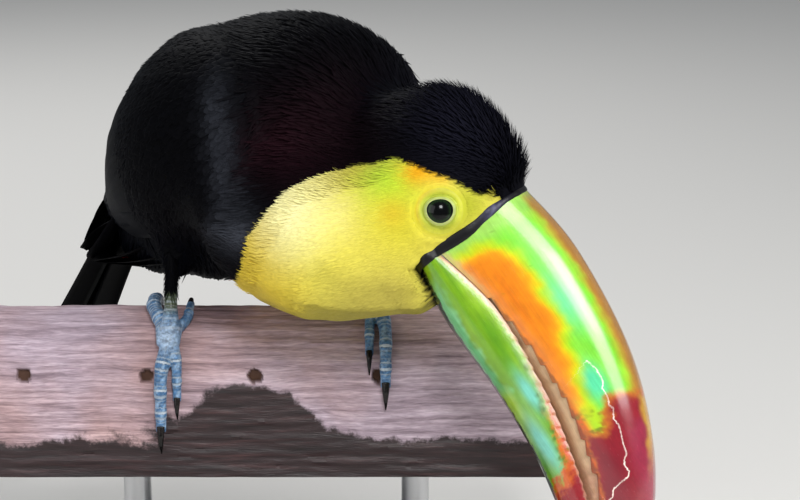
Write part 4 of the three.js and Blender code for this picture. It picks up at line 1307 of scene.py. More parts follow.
# Horn: a thin, hard, semi-clear layer with its colours beneath, polished by use along the sides and finely
# streaked lengthways, with short scuffs that catch the light.
horn, tree = material_named("polished_bill_horn")
tint = attribute(tree, "tint", "Color")
fibres = attribute(tree, "fibre", "Vector")
lengthways = add(tree, "ShaderNodeMapping", {"Vector": fibres, "Scale": (0.09, 1.6, 1.6)})
streak = add(tree, "ShaderNodeTexNoise", {"Vector": lengthways.outputs[0], "Scale": 1.0, "Detail": 5.0})
cloud = add(tree, "ShaderNodeTexNoise", {"Vector": fibres, "Scale": 0.22, "Detail": 4.0})
share = add(tree, "ShaderNodeMapRange", {0: streak.outputs[0], 1: 0.3, 2: 0.7, 3: 0.9, 4: 1.08})
cloudy = add(tree, "ShaderNodeMapRange", {0: cloud.outputs[0], 1: 0.3, 2: 0.7, 3: 0.9, 4: 1.08})
both = add(tree, "ShaderNodeMath", {0: share.outputs[0], 1: cloudy.outputs[0]}, operation="MULTIPLY")
colour = mixed(tree, 1.0, tint, both.outputs[0], "MULTIPLY")
wear = add(tree, "ShaderNodeTexNoise", {"Vector": fibres, "Scale": 1.3, "Detail": 3.0})
crack_away = attribute(tree, "crack")
strayed = add(tree, "ShaderNodeMath", {0: wear.outputs[0], 1: 1.1, 2: crack_away}, operation="MULTIPLY_ADD")
centred = add(tree, "ShaderNodeMath", {0: strayed.outputs[0], 1: -0.55}, operation="ADD")
crack_depth = add(tree, "ShaderNodeMath", {0: centred.outputs[0]}, operation="ABSOLUTE")
crack = add(tree, "ShaderNodeMapRange", {0: crack_depth.outputs[0], 1: 0.34, 2: 0.1, 3: 0.0, 4: 0.95})
broken = add(tree, "ShaderNodeMapRange", {0: cloud.outputs[0], 1: 0.4, 2: 0.6, 3: 0.35, 4: 1.0})
crack_share = add(tree, "ShaderNodeMath", {0: crack.outputs[0], 1: broken.outputs[0]}, operation="MULTIPLY")
cracked = mixed(tree, crack_share.outputs[0], colour, linear("#f4e6dc"))
scuffs = add(tree, "ShaderNodeMapping", {"Vector": fibres, "Scale": (0.35, 2.4, 2.4)})
short_marks = {"Vector": scuffs.outputs[0], "Scale": 1.0, "Detail": 6.0, "Roughness": 0.7}
scuff = add(tree, "ShaderNodeTexNoise", short_marks)
shine = add(tree, "ShaderNodeMapRange", {0: scuff.outputs[0], 1: 0.35, 2: 0.7, 3: 0.14, 4: 0.3})
uneven = add(tree, "ShaderNodeMath", {0: streak.outputs[0], 1: scuff.outputs[0]}, operation="ADD")
relief = add(tree, "ShaderNodeBump", {"Strength": 0.22, "Distance": 0.1 * MM, "Height": uneven.outputs[0]})
surfaced(tree, {
    "Base Color": cracked,
    "Roughness": shine.outputs[0],
    "Normal": relief.outputs[0],
    "IOR": 1.54,
    "Coat Weight": 0.55,
    "Coat Roughness": 0.1,
    "Subsurface Weight": 0.08,
    "Subsurface Radius": (1.0, 0.8, 0.3),
    "Subsurface Scale": 1.0 * MM,
})

for name, shape, colour_of in (("upper", UPPER, upper_colour), ("lower", LOWER, lower_colour)):
    rings, hidden = blade(shape)
    local = rings.reshape(-1, 3)
    hidden = np.tile(hidden, BILL_RINGS)
    ends = np.array([rings[0].mean(0), rings[-1].mean(0)])
    local, hidden = np.vstack([local, ends]), np.append(hidden, [0, 0])
    places = HEAD_CORNER + local @ HEAD * MM
    faces = capped_faces(BILL_RINGS, rings.shape[1])
    piece = object_from(f"bill_{name}_horn", places, faces, horn)
    face_outwards(piece.data)
    piece.data.set_sharp_from_angle(angle=math.radians(60))
    set_attribute(piece.data, "tint", colour_of(places, local, hidden))
    set_attribute(piece.data, "fibre", local)
    near_side = (local[:, 2] > 0) & (name == "upper")
    set_attribute(piece.data, "crack", np.where(near_side, line_away(CRACK, local[:, 0], local[:, 1]), 9))
    fix_to_frame(piece, "bill", f"bill_{name}")

# The rim of bare black hide that the bill's base is set into: a raised, waxy band, swollen over the
# nostril, where a grey-violet sheen is painted on. These say how far forward its back and front edges run,
# by height, up to the ridge.
RIM_BACK = [
    (-3, 0.6), (0, -0.6), (2.6, -0.7), (8.9, -1.5), (13.8, -1.0), (18.9, -0.7), (25.3, -1.0), (31, -2.2),
    (37.4, -1.6), (47.5, -1.2),
]
RIM_FRONT = [
    (-3, 5.6), (-1, 5.0), (1.2, 3.2), (6, 2.9), (9.4, 2.9), (15, 3.3), (19.5, 3.4), (23.2, 3.0),
    (27.4, 2.0), (32.3, 1.5), (38.3, 0.6), (47.5, 1.4),
]


def rim_mesh():
    """The rim's points in the head's millimetres, and its faces: a closed band round the bill's base."""
    upper, lower = np.array(UPPER["section"][::-1]), np.array(LOWER["section"])
    heights = np.concatenate([47.2 - (1 - upper[:, 0]) * 38.6, 8.2 - 9.4 * lower[:, 0]])
    widths = np.concatenate([upper[:, 1], 0.9 * lower[:, 1]]) * BILL_HALF_WIDTH
    loop = np.column_stack([heights, widths])
    loop = np.vstack([loop, (loop * (1, -1))[-2:0:-1]])
    loop = np.vstack([loop, loop[:1]])
    reach = np.concatenate([[0], np.cumsum(np.linalg.norm(np.diff(loop, axis=0), axis=1))])
    around, across = 220, 22
    s = np.linspace(0, reach[-1], around, endpoint=False)
    ring = np.column_stack([np.interp(s, reach, loop[:, i]) for i in range(2)])
    for _ in range(4):
        ring = (np.roll(ring, 1, 0) + 2 * ring + np.roll(ring, -1, 0)) / 4
    ahead = np.roll(ring, -1, 0) - np.roll(ring, 1, 0)
    outwards = np.column_stack([ahead[:, 1], -ahead[:, 0]])
    outwards /= np.linalg.norm(outwards, axis=1)[:, None]
    outwards *= np.sign(np.sum(outwards * (ring - (22, 0)), 1))[:, None]
    back, front = (np.interp(ring[:, 0], *np.array(edge).T) for edge in (RIM_BACK, RIM_FRONT))
    turn = np.linspace(0, 2 * math.pi, across, endpoint=False)
    nostril = np.exp(-(((ring[:, 0] - 33) / 4) ** 2)) * (np.abs(ring[:, 1]) > 4)
    points = []
    for i in range(around):
        thick = 0.55 + 0.5 * nostril[i]
        u = (back[i] + front[i]) / 2 - np.cos(turn) * (front[i] - back[i]) / 2
        out = 0.15 + thick * np.sin(turn)
        points.append(np.column_stack([u, ring[i] + outwards[i] * out[:, None]]))
    points = np.concatenate(points)
    faces = ring_faces(around, across)
    last = (around - 1) * across
    step = np.arange(across)
    ahead_one = (step + 1) % across
    faces.extend(np.stack([last + step, last + ahead_one, ahead_one, step], 1).tolist())
    return points, faces


waxy_hide, tree = material_named("waxy_black_hide")
place = add(tree, "ShaderNodeTexCoord").outputs["Object"]
pores = add(tree, "ShaderNodeTexNoise", {"Vector": place, "Scale": 900.0, "Detail": 4.0})
# Painted sheen: a grey-violet highlight mixed into the black over the nostril's swelling.
bloom = attribute(tree, "bloom")
tone = mixed(tree, bloom, linear("#050406"), linear("#484862"))
raised = {"Strength": 0.5, "Distance": 0.15 * MM, "Height": pores.outputs[0]}
depth_node = add(tree, "ShaderNodeBump", raised)
surfaced(tree, {
    "Base Color": tone,
    "Roughness": 0.4,
    "Normal": depth_node.outputs[0],
    "Specular IOR Level": 0.28,
})
local, faces = rim_mesh()
rim = object_from("bill_base_rim", HEAD_CORNER + local @ HEAD * MM, faces, waxy_hide)
face_outwards(rim.data)
# Where the painted sheen lies: on the rim's sides at the nostril's height.
bloom = np.exp(-(((local[:, 1] - 33) / 4.5) ** 2)) * (np.abs(local[:, 2]) > 6)
set_attribute(rim.data, "bloom", bloom * (0.6 + 0.3 * noise(local, 2.5, 51)))
fix_to_frame(rim, "plumage_black")

# ---- Plumage ----
# Every feather is a thin closed vane of its own, rooted in the skin and lying back over the next. Small
# lax ones cover head and bib, broader ones the body.


def vane(name, length, width, widths, lift, roof, sides=3, sway=0.0):
    """One feather at real size: root at the origin, tip along +Y, back up +Z, closed all round.

    widths holds (share of length, share of width) pairs, lift is how high its tip stands and roof how far
    its middle stands above its edges."""
    points, heights, alongs, spots = [], [], [], []

    def put(x, t, z):
        height = lift * t**1.6 + z
        points.append((x + sway * length * t * t, t * length, height))
        heights.append(height)
        alongs.append(t)
        spots.append((0.5 * x / width, t - 0.5, 0.0))

    put(0, 0, 0)
    across = np.linspace(-1, 1, sides)
    for t, share in widths:
        half = 0.5 * width * share
        for x in across:
            put(x * half, t, roof * (1 - x * x) * share)
    put(0, 1, 0)
    faces = [(0, i + 2, i + 1) for i in range(sides - 1)] + [(0, 1, sides)]
    for row in range(len(widths) - 1):
        a = 1 + row * sides
        for i in range(sides - 1):
            faces.append((a + i, a + i + 1, a + i + 1 + sides, a + i + sides))
        faces.append((a + sides - 1, a, a + sides, a + 2 * sides - 1))
    a, tip = 1 + (len(widths) - 1) * sides, len(points) - 1
    faces += [(a + i, a + i + 1, tip) for i in range(sides - 1)] + [(a + sides - 1, a, tip)]
    mesh = bpy.data.meshes.new(name)
    mesh.from_pydata(points, [], faces)
    solid = bmesh.new()
    solid.from_mesh(mesh)
    bmesh.ops.recalc_face_normals(solid, faces=solid.faces)
    bmesh.ops.triangulate(solid, faces=solid.faces)
    solid.to_mesh(mesh)
    solid.free()
    set_attribute(mesh, "height", heights)
    set_attribute(mesh, "along", alongs)
    set_attribute(mesh, "spot", spots)
    return bpy.data.objects.new(name, mesh)


PATCH_SIZE = 0.003  # how much of the map one feather takes up


def coat_tree():
    """A Geometry Nodes tree that scatters feathers over the skin, lays them back and hugs them to it."""
    tree = bpy.data.node_groups.new("feather coat", "GeometryNodeTree")
    sockets = [
        ("Skin", "NodeSocketGeometry"),
        ("Feathers", "NodeSocketCollection"),
        ("Where", "NodeSocketString"),
        ("Spacing", "NodeSocketFloat"),
        ("Density", "NodeSocketFloat"),
        ("Seed", "NodeSocketInt"),
        ("Spread", "NodeSocketVector"),
        ("Hug", "NodeSocketFloat"),
        ("Plumage", "NodeSocketMaterial"),
    ]
    for name, kind in sockets:
        tree.interface.new_socket(name=name, in_out="INPUT", socket_type=kind)
    tree.interface.new_socket(name="Coat", in_out="OUTPUT", socket_type="NodeSocketGeometry")
    given = add(tree, "NodeGroupInput").outputs

    def named(name, kind):
        return add(tree, "GeometryNodeInputNamedAttribute", {"Name": name}, data_type=kind).outputs[0]

    def stored(geometry, name, value, kind, domain):
        inputs = {"Geometry": geometry, "Name": name, "Value": value}
        kept = add(tree, "GeometryNodeStoreNamedAttribute", inputs, data_type=kind, domain=domain)
        return kept.outputs[0]

    def times(a, b):
        return add(tree, "ShaderNodeMath", {0: a, 1: b}, operation="MULTIPLY").outputs[0]

    def scaled(vector, by):
        return add(tree, "ShaderNodeVectorMath", {0: vector, "Scale": by}, operation="SCALE").outputs[0]

    def plus(a, b):
        return add(tree, "ShaderNodeVectorMath", {0: a, 1: b}, operation="ADD").outputs[0]

    scatter = add(
        tree,
        "GeometryNodeDistributePointsOnFaces",
        {
            "Mesh": given["Skin"],
            "Distance Min": given["Spacing"],
            "Density Max": given["Density"],
            "Density Factor": named(given["Where"], "FLOAT"),
            "Seed": given["Seed"],
        },
        distribute_method="POISSON",
    )
    unwrap = named("OFBake", "FLOAT_VECTOR")
    roots = stored(scatter.outputs["Points"], "root", unwrap, "FLOAT_VECTOR", "POINT")
    roots = stored(roots, "outward", scatter.outputs["Normal"], "FLOAT_VECTOR", "POINT")
    straight_out = {"Vector": scatter.outputs["Normal"]}
    upright = add(tree, "FunctionNodeAlignRotationToVector", straight_out, axis="Z")
    back = {"Rotation": upright.outputs[0], "Vector": named("lie", "FLOAT_VECTOR")}
    laid = add(tree, "FunctionNodeAlignRotationToVector", back, axis="Y", pivot_axis="Z")
    either_way = {0: scaled(given["Spread"], -1.0), 1: given["Spread"], "Seed": given["Seed"]}
    stray = add(tree, "FunctionNodeRandomValue", either_way, data_type="FLOAT_VECTOR")
    swung = {"Rotation": laid.outputs[0], "Rotate By": stray.outputs[0]}
    turned = add(tree, "FunctionNodeRotateRotation", swung, rotation_space="LOCAL")
    vary = add(tree, "FunctionNodeRandomValue", {2: 0.8, 3: 1.2, "Seed": 7}, data_type="FLOAT")
    roots = stored(roots, "size", times(named("size", "FLOAT"), vary.outputs[1]), "FLOAT", "POINT")
    one_by_one = {"Collection": given["Feathers"], "Separate Children": True, "Reset Children": True}
    kinds = add(tree, "GeometryNodeCollectionInfo", one_by_one)
    pick = add(tree, "FunctionNodeRandomValue", {4: 0, 5: 9, "Seed": 3}, data_type="INT")
    planted = add(
        tree,
        "GeometryNodeInstanceOnPoints",
        {
            "Points": roots,
            "Instance": kinds.outputs[0],
            "Pick Instance": True,
            "Instance Index": pick.outputs[2],
            "Rotation": turned.outputs[0],
            "Scale": named("size", "FLOAT"),
        },
    )
    chance = add(tree, "FunctionNodeRandomValue", {2: 0.0, 3: 1.0, "Seed": 11}, data_type="FLOAT")
    shaded = stored(planted.outputs[0], "shade", chance.outputs[1], "FLOAT", "INSTANCE")
    real = add(tree, "GeometryNodeRealizeInstances", {0: shaded}).outputs[0]
    here = add(tree, "GeometryNodeInputPosition").outputs[0]
    below = {0: given["Skin"], "Source Position": here}
    nearest = add(tree, "GeometryNodeProximity", below, target_element="FACES").outputs[0]
    facing_out = add(tree, "GeometryNodeInputNormal").outputs[0]
    sampled = {"Mesh": given["Skin"], "Value": facing_out, "Sample Position": here}
    outwards = add(tree, "GeometryNodeSampleNearestSurface", sampled, data_type="FLOAT_VECTOR").outputs[0]
    above = scaled(outwards, times(named("height", "FLOAT"), named("size", "FLOAT")))
    hugged = plus(nearest, above)
    lain = add(tree, "ShaderNodeMix", {0: given["Hug"], 4: here, 5: hugged}, data_type="VECTOR").outputs[1]
    settled_down = add(tree, "GeometryNodeSetPosition", {"Geometry": real, "Position": lain}).outputs[0]
    patch = scaled(named("spot", "FLOAT_VECTOR"), PATCH_SIZE)
    unwrapped = plus(named("root", "FLOAT_VECTOR"), patch)
    mapped = stored(settled_down, "OFBake", unwrapped, "FLOAT2", "CORNER")
    rounded = add(tree, "GeometryNodeSetShadeSmooth", {"Geometry": mapped}).outputs[0]
    dressed = add(tree, "GeometryNodeSetMaterial", {"Geometry": rounded, "Material": given["Plumage"]})
    add(tree, "NodeGroupOutput", {0: dressed.outputs[0]})
    return tree


feather_coat = coat_tree()
ROOTS_TRIED = 2.2  # roots tried in each square of the spacing, before those too near another are dropped
COAT_ONLY = ("lie", "root", "spot", "height", "size", "outward")


def grow(name, feathers, where, size, spacing, hug, spread, seed, plumage, slot, softness):
    """Grows one coat of feathers over the skin where `where` is above 0, and fixes it to the frame.

    hug is how closely they follow the skin, spread how far each may turn about each axis, in radians, and
    softness how far their upper faces are lit as the skin is."""
    kinds = bpy.data.collections.new(name)
    for feather in feathers:
        kinds.objects.link(feather)
    set_attribute(skin_mesh, "where", where)
    set_attribute(skin_mesh, "size", size)
    grower = in_scene(name, skin_mesh.copy())
    modifier = grower.modifiers.new("coat", "NODES")
    modifier.node_group = feather_coat
    identifiers = {item.name: item.identifier for item in feather_coat.interface.items_tree}
    values = {
        "Feathers": kinds,
        "Where": "where",
        "Spacing": spacing,
        "Density": ROOTS_TRIED / spacing**2,
        "Seed": seed,
        "Spread": spread,
        "Hug": hug,
        "Plumage": plumage,
    }
    for key, value in values.items():
        modifier[identifiers[key]] = value
    mesh = as_mesh(grower)
    # A vane's upper faces take light much as the skin under them would; its under faces stay flat.
    corners = point_of_corners(mesh)
    outward = triples(mesh.attributes["outward"].data, "vector")[corners]
    flat = np.repeat(triples(mesh.polygons, "normal"), 3, axis=0)
    upper = np.sum(flat * outward, 1)[:, None] > 0
    facing_way = np.where(upper, (1 - softness) * point_normals(mesh)[corners] + softness * outward, flat)
    facing_way /= np.maximum(np.linalg.norm(facing_way, axis=1), 1e-6)[:, None]
    mesh.normals_split_custom_set(facing_way.tolist())
    for leftover in COAT_ONLY:
        if leftover in mesh.attributes:
            mesh.attributes.remove(mesh.attributes[leftover])
    for feather in feathers:
        bpy.data.objects.remove(feather)
    bpy.data.collections.remove(kinds)
    for name_left in ("where", "size"):
        skin_mesh.attributes.remove(skin_mesh.attributes[name_left])
    fix_to_frame(in_scene(name, mesh), slot)


# The folded wing on each flank, from the wrist (0) to its tip (1): its ends along the trunk, and where its
# upper and lower edges lie, in degrees round from the back.
WING_ENDS = (52, -83)
WING_TOP = [(0, 64), (0.12, 34), (0.3, 14), (0.6, 11), (0.84, 30), (1, 66)]
WING_BOTTOM = [(0, 98), (0.12, 112), (0.3, 117), (0.6, 111), (0.85, 100), (1, 86)]


def wing_place(points):
    """How far each point lies along its side's folded wing, and down across it (0 to 1)."""
    a, b, c = in_trunk(points).T
    along = (WING_ENDS[0] - a) / (WING_ENDS[0] - WING_ENDS[1])
    inside = np.clip(along, 0, 1)
    top, bottom = graph(WING_TOP, inside), graph(WING_BOTTOM, inside)
    return along, (np.degrees(np.arctan2(np.abs(c), b)) - top) / np.maximum(bottom - top, 8)


u, v, _ = in_head(points).T
forward = in_trunk(points).T[0]
along_wing, across_wing = wing_place(points)
buried = np.where(part_of == 0, from_eye < PATCH_RADIUS - 0.9, from_eye > PATCH_RADIUS - 0.7)
buried = buried | (part_of == 2)
rim_away = np.where(v > -2.0, np.interp(v, *np.array(RIM_BACK).T) - u, 9)
feathered = 1.0 * ~buried * smoothstep(BARE_RADIUS - 0.4, BARE_RADIUS + 0.6, from_eye)
feathered = feathered * smoothstep(0.3, 1.2, rim_away) * smoothstep(1.7, 2.2, horn_away)
from_ankle, from_shin = np.full(len(points), 1.0), np.full(len(points), 1.0)
for foot in FEET.values():
    ankle = np.array(foot["ankle"]) * MM
    from_ankle = np.minimum(from_ankle, np.linalg.norm(points - ankle, axis=1))
    shin = on_rail(foot["across"], foot["around"], 4.2) * MM - ankle
    down_shin = np.clip((points - ankle) @ shin / (shin @ shin), 0, 1)
    from_shin = np.minimum(from_shin, np.linalg.norm(points - ankle - down_shin[:, None] * shin, axis=1))
cuff = (part_of == 2) & (plate_of == 0) & (points[:, 2] > crest + 9.5 * MM)
feathered = np.where(cuff, 1.0, feathered)
thigh_end = np.maximum(smoothstep(18, 15, from_ankle / MM), smoothstep(10, 8, from_shin / MM))
thigh_end = np.where(cuff, 1.0, thigh_end)
on_face = smoothstep(-36, -24, u) * smoothstep(-18, -6, v)
is_yellow, is_black = yellow > 0.05, yellow <= -0.1
on_wing = smoothstep(-0.02, 0.06, along_wing) * (along_wing < 1.02) * smoothstep(-0.06, 0.04, across_wing)
on_wing = on_wing * smoothstep(1.1, 1.0, across_wing) * (yellow < -4)
on_flight = on_wing * smoothstep(0.56, 0.64, along_wing)
fine_edge = 0.4 + 0.6 * smoothstep(0, 16, np.abs(yellow))


def locks(name, length, width, lift, roof, sway=0.1, widths=((0.12, 0.8), (0.45, 1.0), (0.8, 0.6)), sides=3):
    """Three feathers of one size, in millimetres, swept left, straight and right."""
    size = (length * MM, width * MM, widths, lift * MM, roof * MM, sides)
    return [vane(f"{name}{i}", *size, sway * (i - 1)) for i in range(3)]


SHORT_VANE = ((0.3, 1.0), (0.72, 0.75))
COVERT_VANE = ((0.08, 0.5), (0.3, 0.9), (0.6, 1.0), (0.85, 0.8), (0.95, 0.45))
BRIGHT = {"plumage": bright_plumage, "slot": "plumage_yellow", "softness": 0.8}
BLACK = {"plumage": black_plumage, "slot": "plumage_black", "softness": 0.6}

feathers = locks("face", 2.5, 0.5, 0.18, 0.03, 0.08, SHORT_VANE)
size = (0.7 + 0.45 * smoothstep(9, 24, from_eye)) * (0.55 + 0.45 * smoothstep(0, 4, yellow))
where = is_yellow * (on_face > 0.45) * feathered
grow("plumage_face", feathers, where, size, 0.53 * MM, 0.85, (0.05, 0.04, 0.2), 1, **BRIGHT)

feathers = locks("bib", 6.5, 0.95, 0.2, 0.03, 0.06, SHORT_VANE)
size = fine_edge * (1 - 0.4 * on_face) * 1.05
where = is_yellow * (on_face < 0.5) * feathered
grow("plumage_bib", feathers, where, size, 0.6 * MM, 0.97, (0.05, 0.03, 0.1), 2, **BRIGHT)

feathers = locks("bib_edge", 4.2, 0.6, 1.3, 0.04)
size = 0.7 + 0.3 * smoothstep(1, 6, yellow)
where = smoothstep(0.2, 1.0, yellow) * smoothstep(9, 5, yellow) * (on_face < 0.5) * feathered
grow("plumage_bib_edge", feathers, where, size, 0.55 * MM, 0.8, (0.08, 0.05, 0.22), 8, **BRIGHT)

feathers = locks("crown", 6.5, 0.7, 2.6, 0.1)
on_crown = smoothstep(-52, -44, u) * smoothstep(-30, -22, v)
forelock = smoothstep(-16, -4, u) * smoothstep(28, 38, v)
size = fine_edge * (0.85 + 0.15 * smoothstep(2, -16, u) + 0.5 * forelock)
where = is_black * on_crown * feathered
grow("plumage_crown", feathers, where, size, 0.78 * MM, 0.5, (0.1, 0.06, 0.2), 3, **BLACK)

feathers = locks("forelock", 5.5, 0.6, 3.6, 0.08)
size = 0.8 + 0.2 * smoothstep(26, 36, v)
where = is_black * smoothstep(-8, -4, u) * smoothstep(24, 30, v) * feathered
grow("plumage_forelock", feathers, where, size, 0.6 * MM, 0.3, (0.15, 0.1, 0.3), 9, **BLACK)

feathers = locks("nape", 10, 1.25, 1.5, 0.12)
size = 0.3 + 0.7 * smoothstep(0, 18, -yellow)
where = is_black * (1 - on_crown) * smoothstep(10, 20, forward) * (1 - on_wing) * feathered
grow("plumage_nape", feathers, where, size, 1.2 * MM, 0.75, (0.08, 0.05, 0.2), 4, **BLACK)

feathers = locks("back", 13, 1.9, 1.6, 0.15)
size = 0.4 + 0.6 * smoothstep(15 * MM, 34 * MM, from_ankle)
size = size * (0.3 + 0.7 * smoothstep(0, 20, -yellow))
where = is_black * smoothstep(20, 10, forward) * (1 - on_wing) * feathered
where = where * (from_ankle > 12 * MM) * (from_shin > 8 * MM) * ~cuff
grow("plumage_back", feathers, where, size, 1.45 * MM, 0.85, (0.06, 0.05, 0.16), 5, **BLACK)

feathers = locks("thigh", 6, 0.9, 0.9, 0.08)
size = np.where(cuff, 0.6, 0.9)
where = thigh_end * (1 - on_wing) * feathered
grow("plumage_thigh", feathers, where, size, 0.75 * MM, 0.7, (0.08, 0.05, 0.2), 10, **BLACK)

feathers = locks("covert", 11, 5, 0.8, 0.25, 0.05, COVERT_VANE, 5)
size = 0.55 + 0.6 * smoothstep(0.05, 0.5, along_wing)
where = on_wing * (1 - on_flight) * feathered
grow("wing_coverts", feathers, where, size, 1.7 * MM, 0.92, (0.03, 0.03, 0.08), 6, **BLACK)

feathers = locks("fringe", 9, 1.1, 1.15, 0.12)
size = 0.6 + 0.5 * smoothstep(0.05, 0.5, along_wing)
grow("wing_fringe", feathers, where, size, 1.3 * MM, 0.85, (0.06, 0.05, 0.2), 7, **BLACK)

# ---- Wing and tail feathers ----
# Long stiff feathers, each a closed blade of two webs on a horn shaft. Flight feathers and their coverts
# overlap down the folded wings; five pairs stack into the tail, the middle pair on top.


TAIL_STEPS = 44


def blade_feather(spine, side, up, width, widths, camber, thickness=0.35, along=TAIL_STEPS, across=9):
    """A long feather: its middle line, the directions of its right edge and its back, and its half widths.

    widths holds (share of length, left share, right share); camber is how far the edges droop."""
    t = np.linspace(0, 1, along)
    shares = np.array(widths, float)
    left, right = np.interp(t, shares[:, 0], shares[:, 1]), np.interp(t, shares[:, 0], shares[:, 2])
    x = np.linspace(-1, 1, across)
    points, alongs, webs = [], [], []
    for sheet in (1, -1):
        for i in range(along):
            reach = np.where(x < 0, left[i], right[i]) * width / 2
            droop = -camber * x**2 * min(1.0, 4 * (1 - t[i]) + 0.2)
            shaft = 0.32 * np.exp(-((x * reach / 0.9) ** 2)) * (1 - 0.7 * t[i]) * (sheet > 0)
            lift = droop + shaft + sheet * 0.5 * thickness * (1 - 0.6 * np.abs(x)) * (1 - 0.5 * t[i])
            points.append(spine[i] + np.outer(x * reach, side[i]) + np.outer(lift, up[i]))
            alongs.extend([t[i]] * across)
            webs.extend(np.stack([x * reach, np.full(across, t[i]), np.zeros(across)], 1))
    points = np.concatenate(points)
    faces, sheet_size = [], along * across
    for i in range(along - 1):
        row = i * across + np.arange(across - 1)
        faces.extend(np.stack([row, row + 1, row + 1 + across, row + across], 1).tolist())
        under = row + sheet_size
        faces.extend(np.stack([under, under + across, under + 1 + across, under + 1], 1).tolist())
        for edge in (0, across - 1):
            a, b = i * across + edge, (i + 1) * across + edge
            faces.append((a, b, b + sheet_size, a + sheet_size))
    last = (along - 1) * across
    for i in range(across - 1):
        faces.append((i, i + 1, i + 1 + sheet_size, i + sheet_size))
        faces.append((last + i, last + i + 1, last + i + 1 + sheet_size, last + i + sheet_size))
    return points, faces, np.array(alongs), np.array(webs)


skin_surface = surface_of(skin_mesh)
unwrap = skin_mesh.uv_layers["OFBake"].data


def root_place(point):
    """Where the skin's unwrap holds the place nearest a feather's root."""
    nearest = skin_surface.find_nearest(Vector(point * MM))[2]
    return np.mean([unwrap[i].uv[:] for i in skin_mesh.polygons[nearest].loop_indices], axis=0)


def joined_feathers(name, feathers, colour_of, plumage, slot, *nodes):
    """One piece from several long feathers. In the map each is a small patch at its root's place."""
    points, faces, alongs, webs, numbers, patches = [], [], [], [], [], []
    start = 0
    for number, (some, quads, along, web) in enumerate(feathers):
        points.append(some)
        faces.extend([[a + start for a in quad] for quad in quads])
        alongs.append(along)
        webs.append(web)
        numbers.append(np.full(len(some), number))
        sideways = 0.5 * web[:, 0] / np.abs(web[:, 0]).max()
        patches.append(root_place(some[0]) + PATCH_SIZE * np.column_stack([sideways, along - 0.5]))
        start += len(some)
    points, alongs, webs, numbers, patches = map(np.concatenate, (points, alongs, webs, numbers, patches))
    piece = object_from(name, points * MM, faces, plumage)
    face_outwards(piece.data)
    set_attribute(piece.data, "tint", colour_of(points * MM, alongs, numbers))
    set_attribute(piece.data, "along", alongs)
    set_attribute(piece.data, "shade", (numbers * 0.618) % 1)
    set_attribute(piece.data, "web", webs)
    unwrapped = patches[point_of_corners(piece.data)].astype(np.float32)
    piece.data.uv_layers.new(name="OFBake").data.foreach_set("uv", unwrapped.ravel())
    fix_to_frame(piece, slot, *nodes)


# Flight feathers: stiff, close webs of barbs running out from the shaft, black with a cold satin gloss.
flight_web, tree = material_named("satin_flight_feather")
tint = attribute(tree, "tint", "Color")
web = attribute(tree, "web", "Vector")
shade = attribute(tree, "shade")
parts = add(tree, "ShaderNodeSeparateXYZ", {0: web})
sideways = add(tree, "ShaderNodeMath", {0: parts.outputs[0]}, operation="ABSOLUTE")
swept_back = {0: sideways.outputs[0], 1: -0.012, 2: parts.outputs[1]}
slant = add(tree, "ShaderNodeMath", swept_back, operation="MULTIPLY_ADD")
barb_place = add(tree, "ShaderNodeCombineXYZ", {0: slant.outputs[0], 1: shade})
barbs = add(tree, "ShaderNodeTexNoise", {"Vector": barb_place.outputs[0], "Scale": 260.0, "Detail": 3.0})
tone = add(tree, "ShaderNodeMapRange", {0: barbs.outputs[0], 1: 0.3, 2: 0.7, 3: 0.8, 4: 1.2})
shaft = add(tree, "ShaderNodeMapRange", {0: sideways.outputs[0], 1: 0.45, 2: 0.2})
webbed = mixed(tree, 1.0, tint, tone.outputs[0], "MULTIPLY")
colour = mixed(tree, shaft.outputs[0], webbed, linear("#d8d0c4"), "MULTIPLY")
relief = add(tree, "ShaderNodeBump", {"Strength": 0.35, "Distance": 0.12 * MM, "Height": barbs.outputs[0]})
surfaced(tree, {
    "Base Color": colour,
    "Roughness": 0.55,
    "Normal": relief.outputs[0],
    "Specular IOR Level": 0.03,
})


def flight_colour(points, along, number):
    colour, brush = painter(points, "#060709")
    brush("#080b15", 0.6 * smoothstep(0.2, 0.9, along))
    return colour


TAIL_LENGTH = 160
tail_feathers = []
for pair in range(5):
    for out in (-1, 1):
        t = np.linspace(0, 1, TAIL_STEPS)
        length = TAIL_LENGTH * (1 - 0.035 * pair)
        fan = out * (2.2 + 3.3 * pair) * (0.55 + 0.45 * smoothstep(0, 0.9, t))
        height = 1.4 - 0.75 * pair - 0.009 * fan**2 + 0.12 * out
        back = 9 - t * (length + 8)
        line = TAIL_ROOT / MM + np.stack([back, height, fan], 1) @ TAIL
        side, up = (np.tile(way, (TAIL_STEPS, 1)) for way in (TAIL[2], TAIL[1]))
        outer = 0.62 if pair else 0.8
        near, far = (1.25, outer) if out > 0 else (outer, 1.25)
        widths = [
            (0, 0.5, 0.5), (0.12, near * 0.75, far * 0.75), (0.4, near * 0.9, far * 0.9), (0.75, near, far),
            (0.9, near * 0.92, far * 0.9), (0.96, near * 0.68, far * 0.62), (0.99, near * 0.34, far * 0.3),
            (1, 0.08, 0.08),
        ]
        tail_feathers.append(blade_feather(line, side, up, 17.5, widths, 1.0))
joined_feathers("tail_feathers", tail_feathers, flight_colour, flight_web, "plumage_black", "tail")


def wing_point(along, across, side):
    """The outermost place on the skin at a share along a folded wing, and a share across it."""
    axis = WING_ENDS[0] + (WING_ENDS[1] - WING_ENDS[0]) * along
    inside = min(max(along, 0.0), 1.0)
    top, bottom = graph(WING_TOP, np.array([inside]))[0], graph(WING_BOTTOM, np.array([inside]))[0]
    angle = math.radians(top + (bottom - top) * across)
    far = from_trunk(axis, 90 * math.cos(angle), 90 * math.sin(angle) * side)
    inwards = from_trunk(axis, 0, 0) - far
    hit = skin_surface.ray_cast(Vector(far), Vector(inwards))[0]
    return np.array(hit) / MM


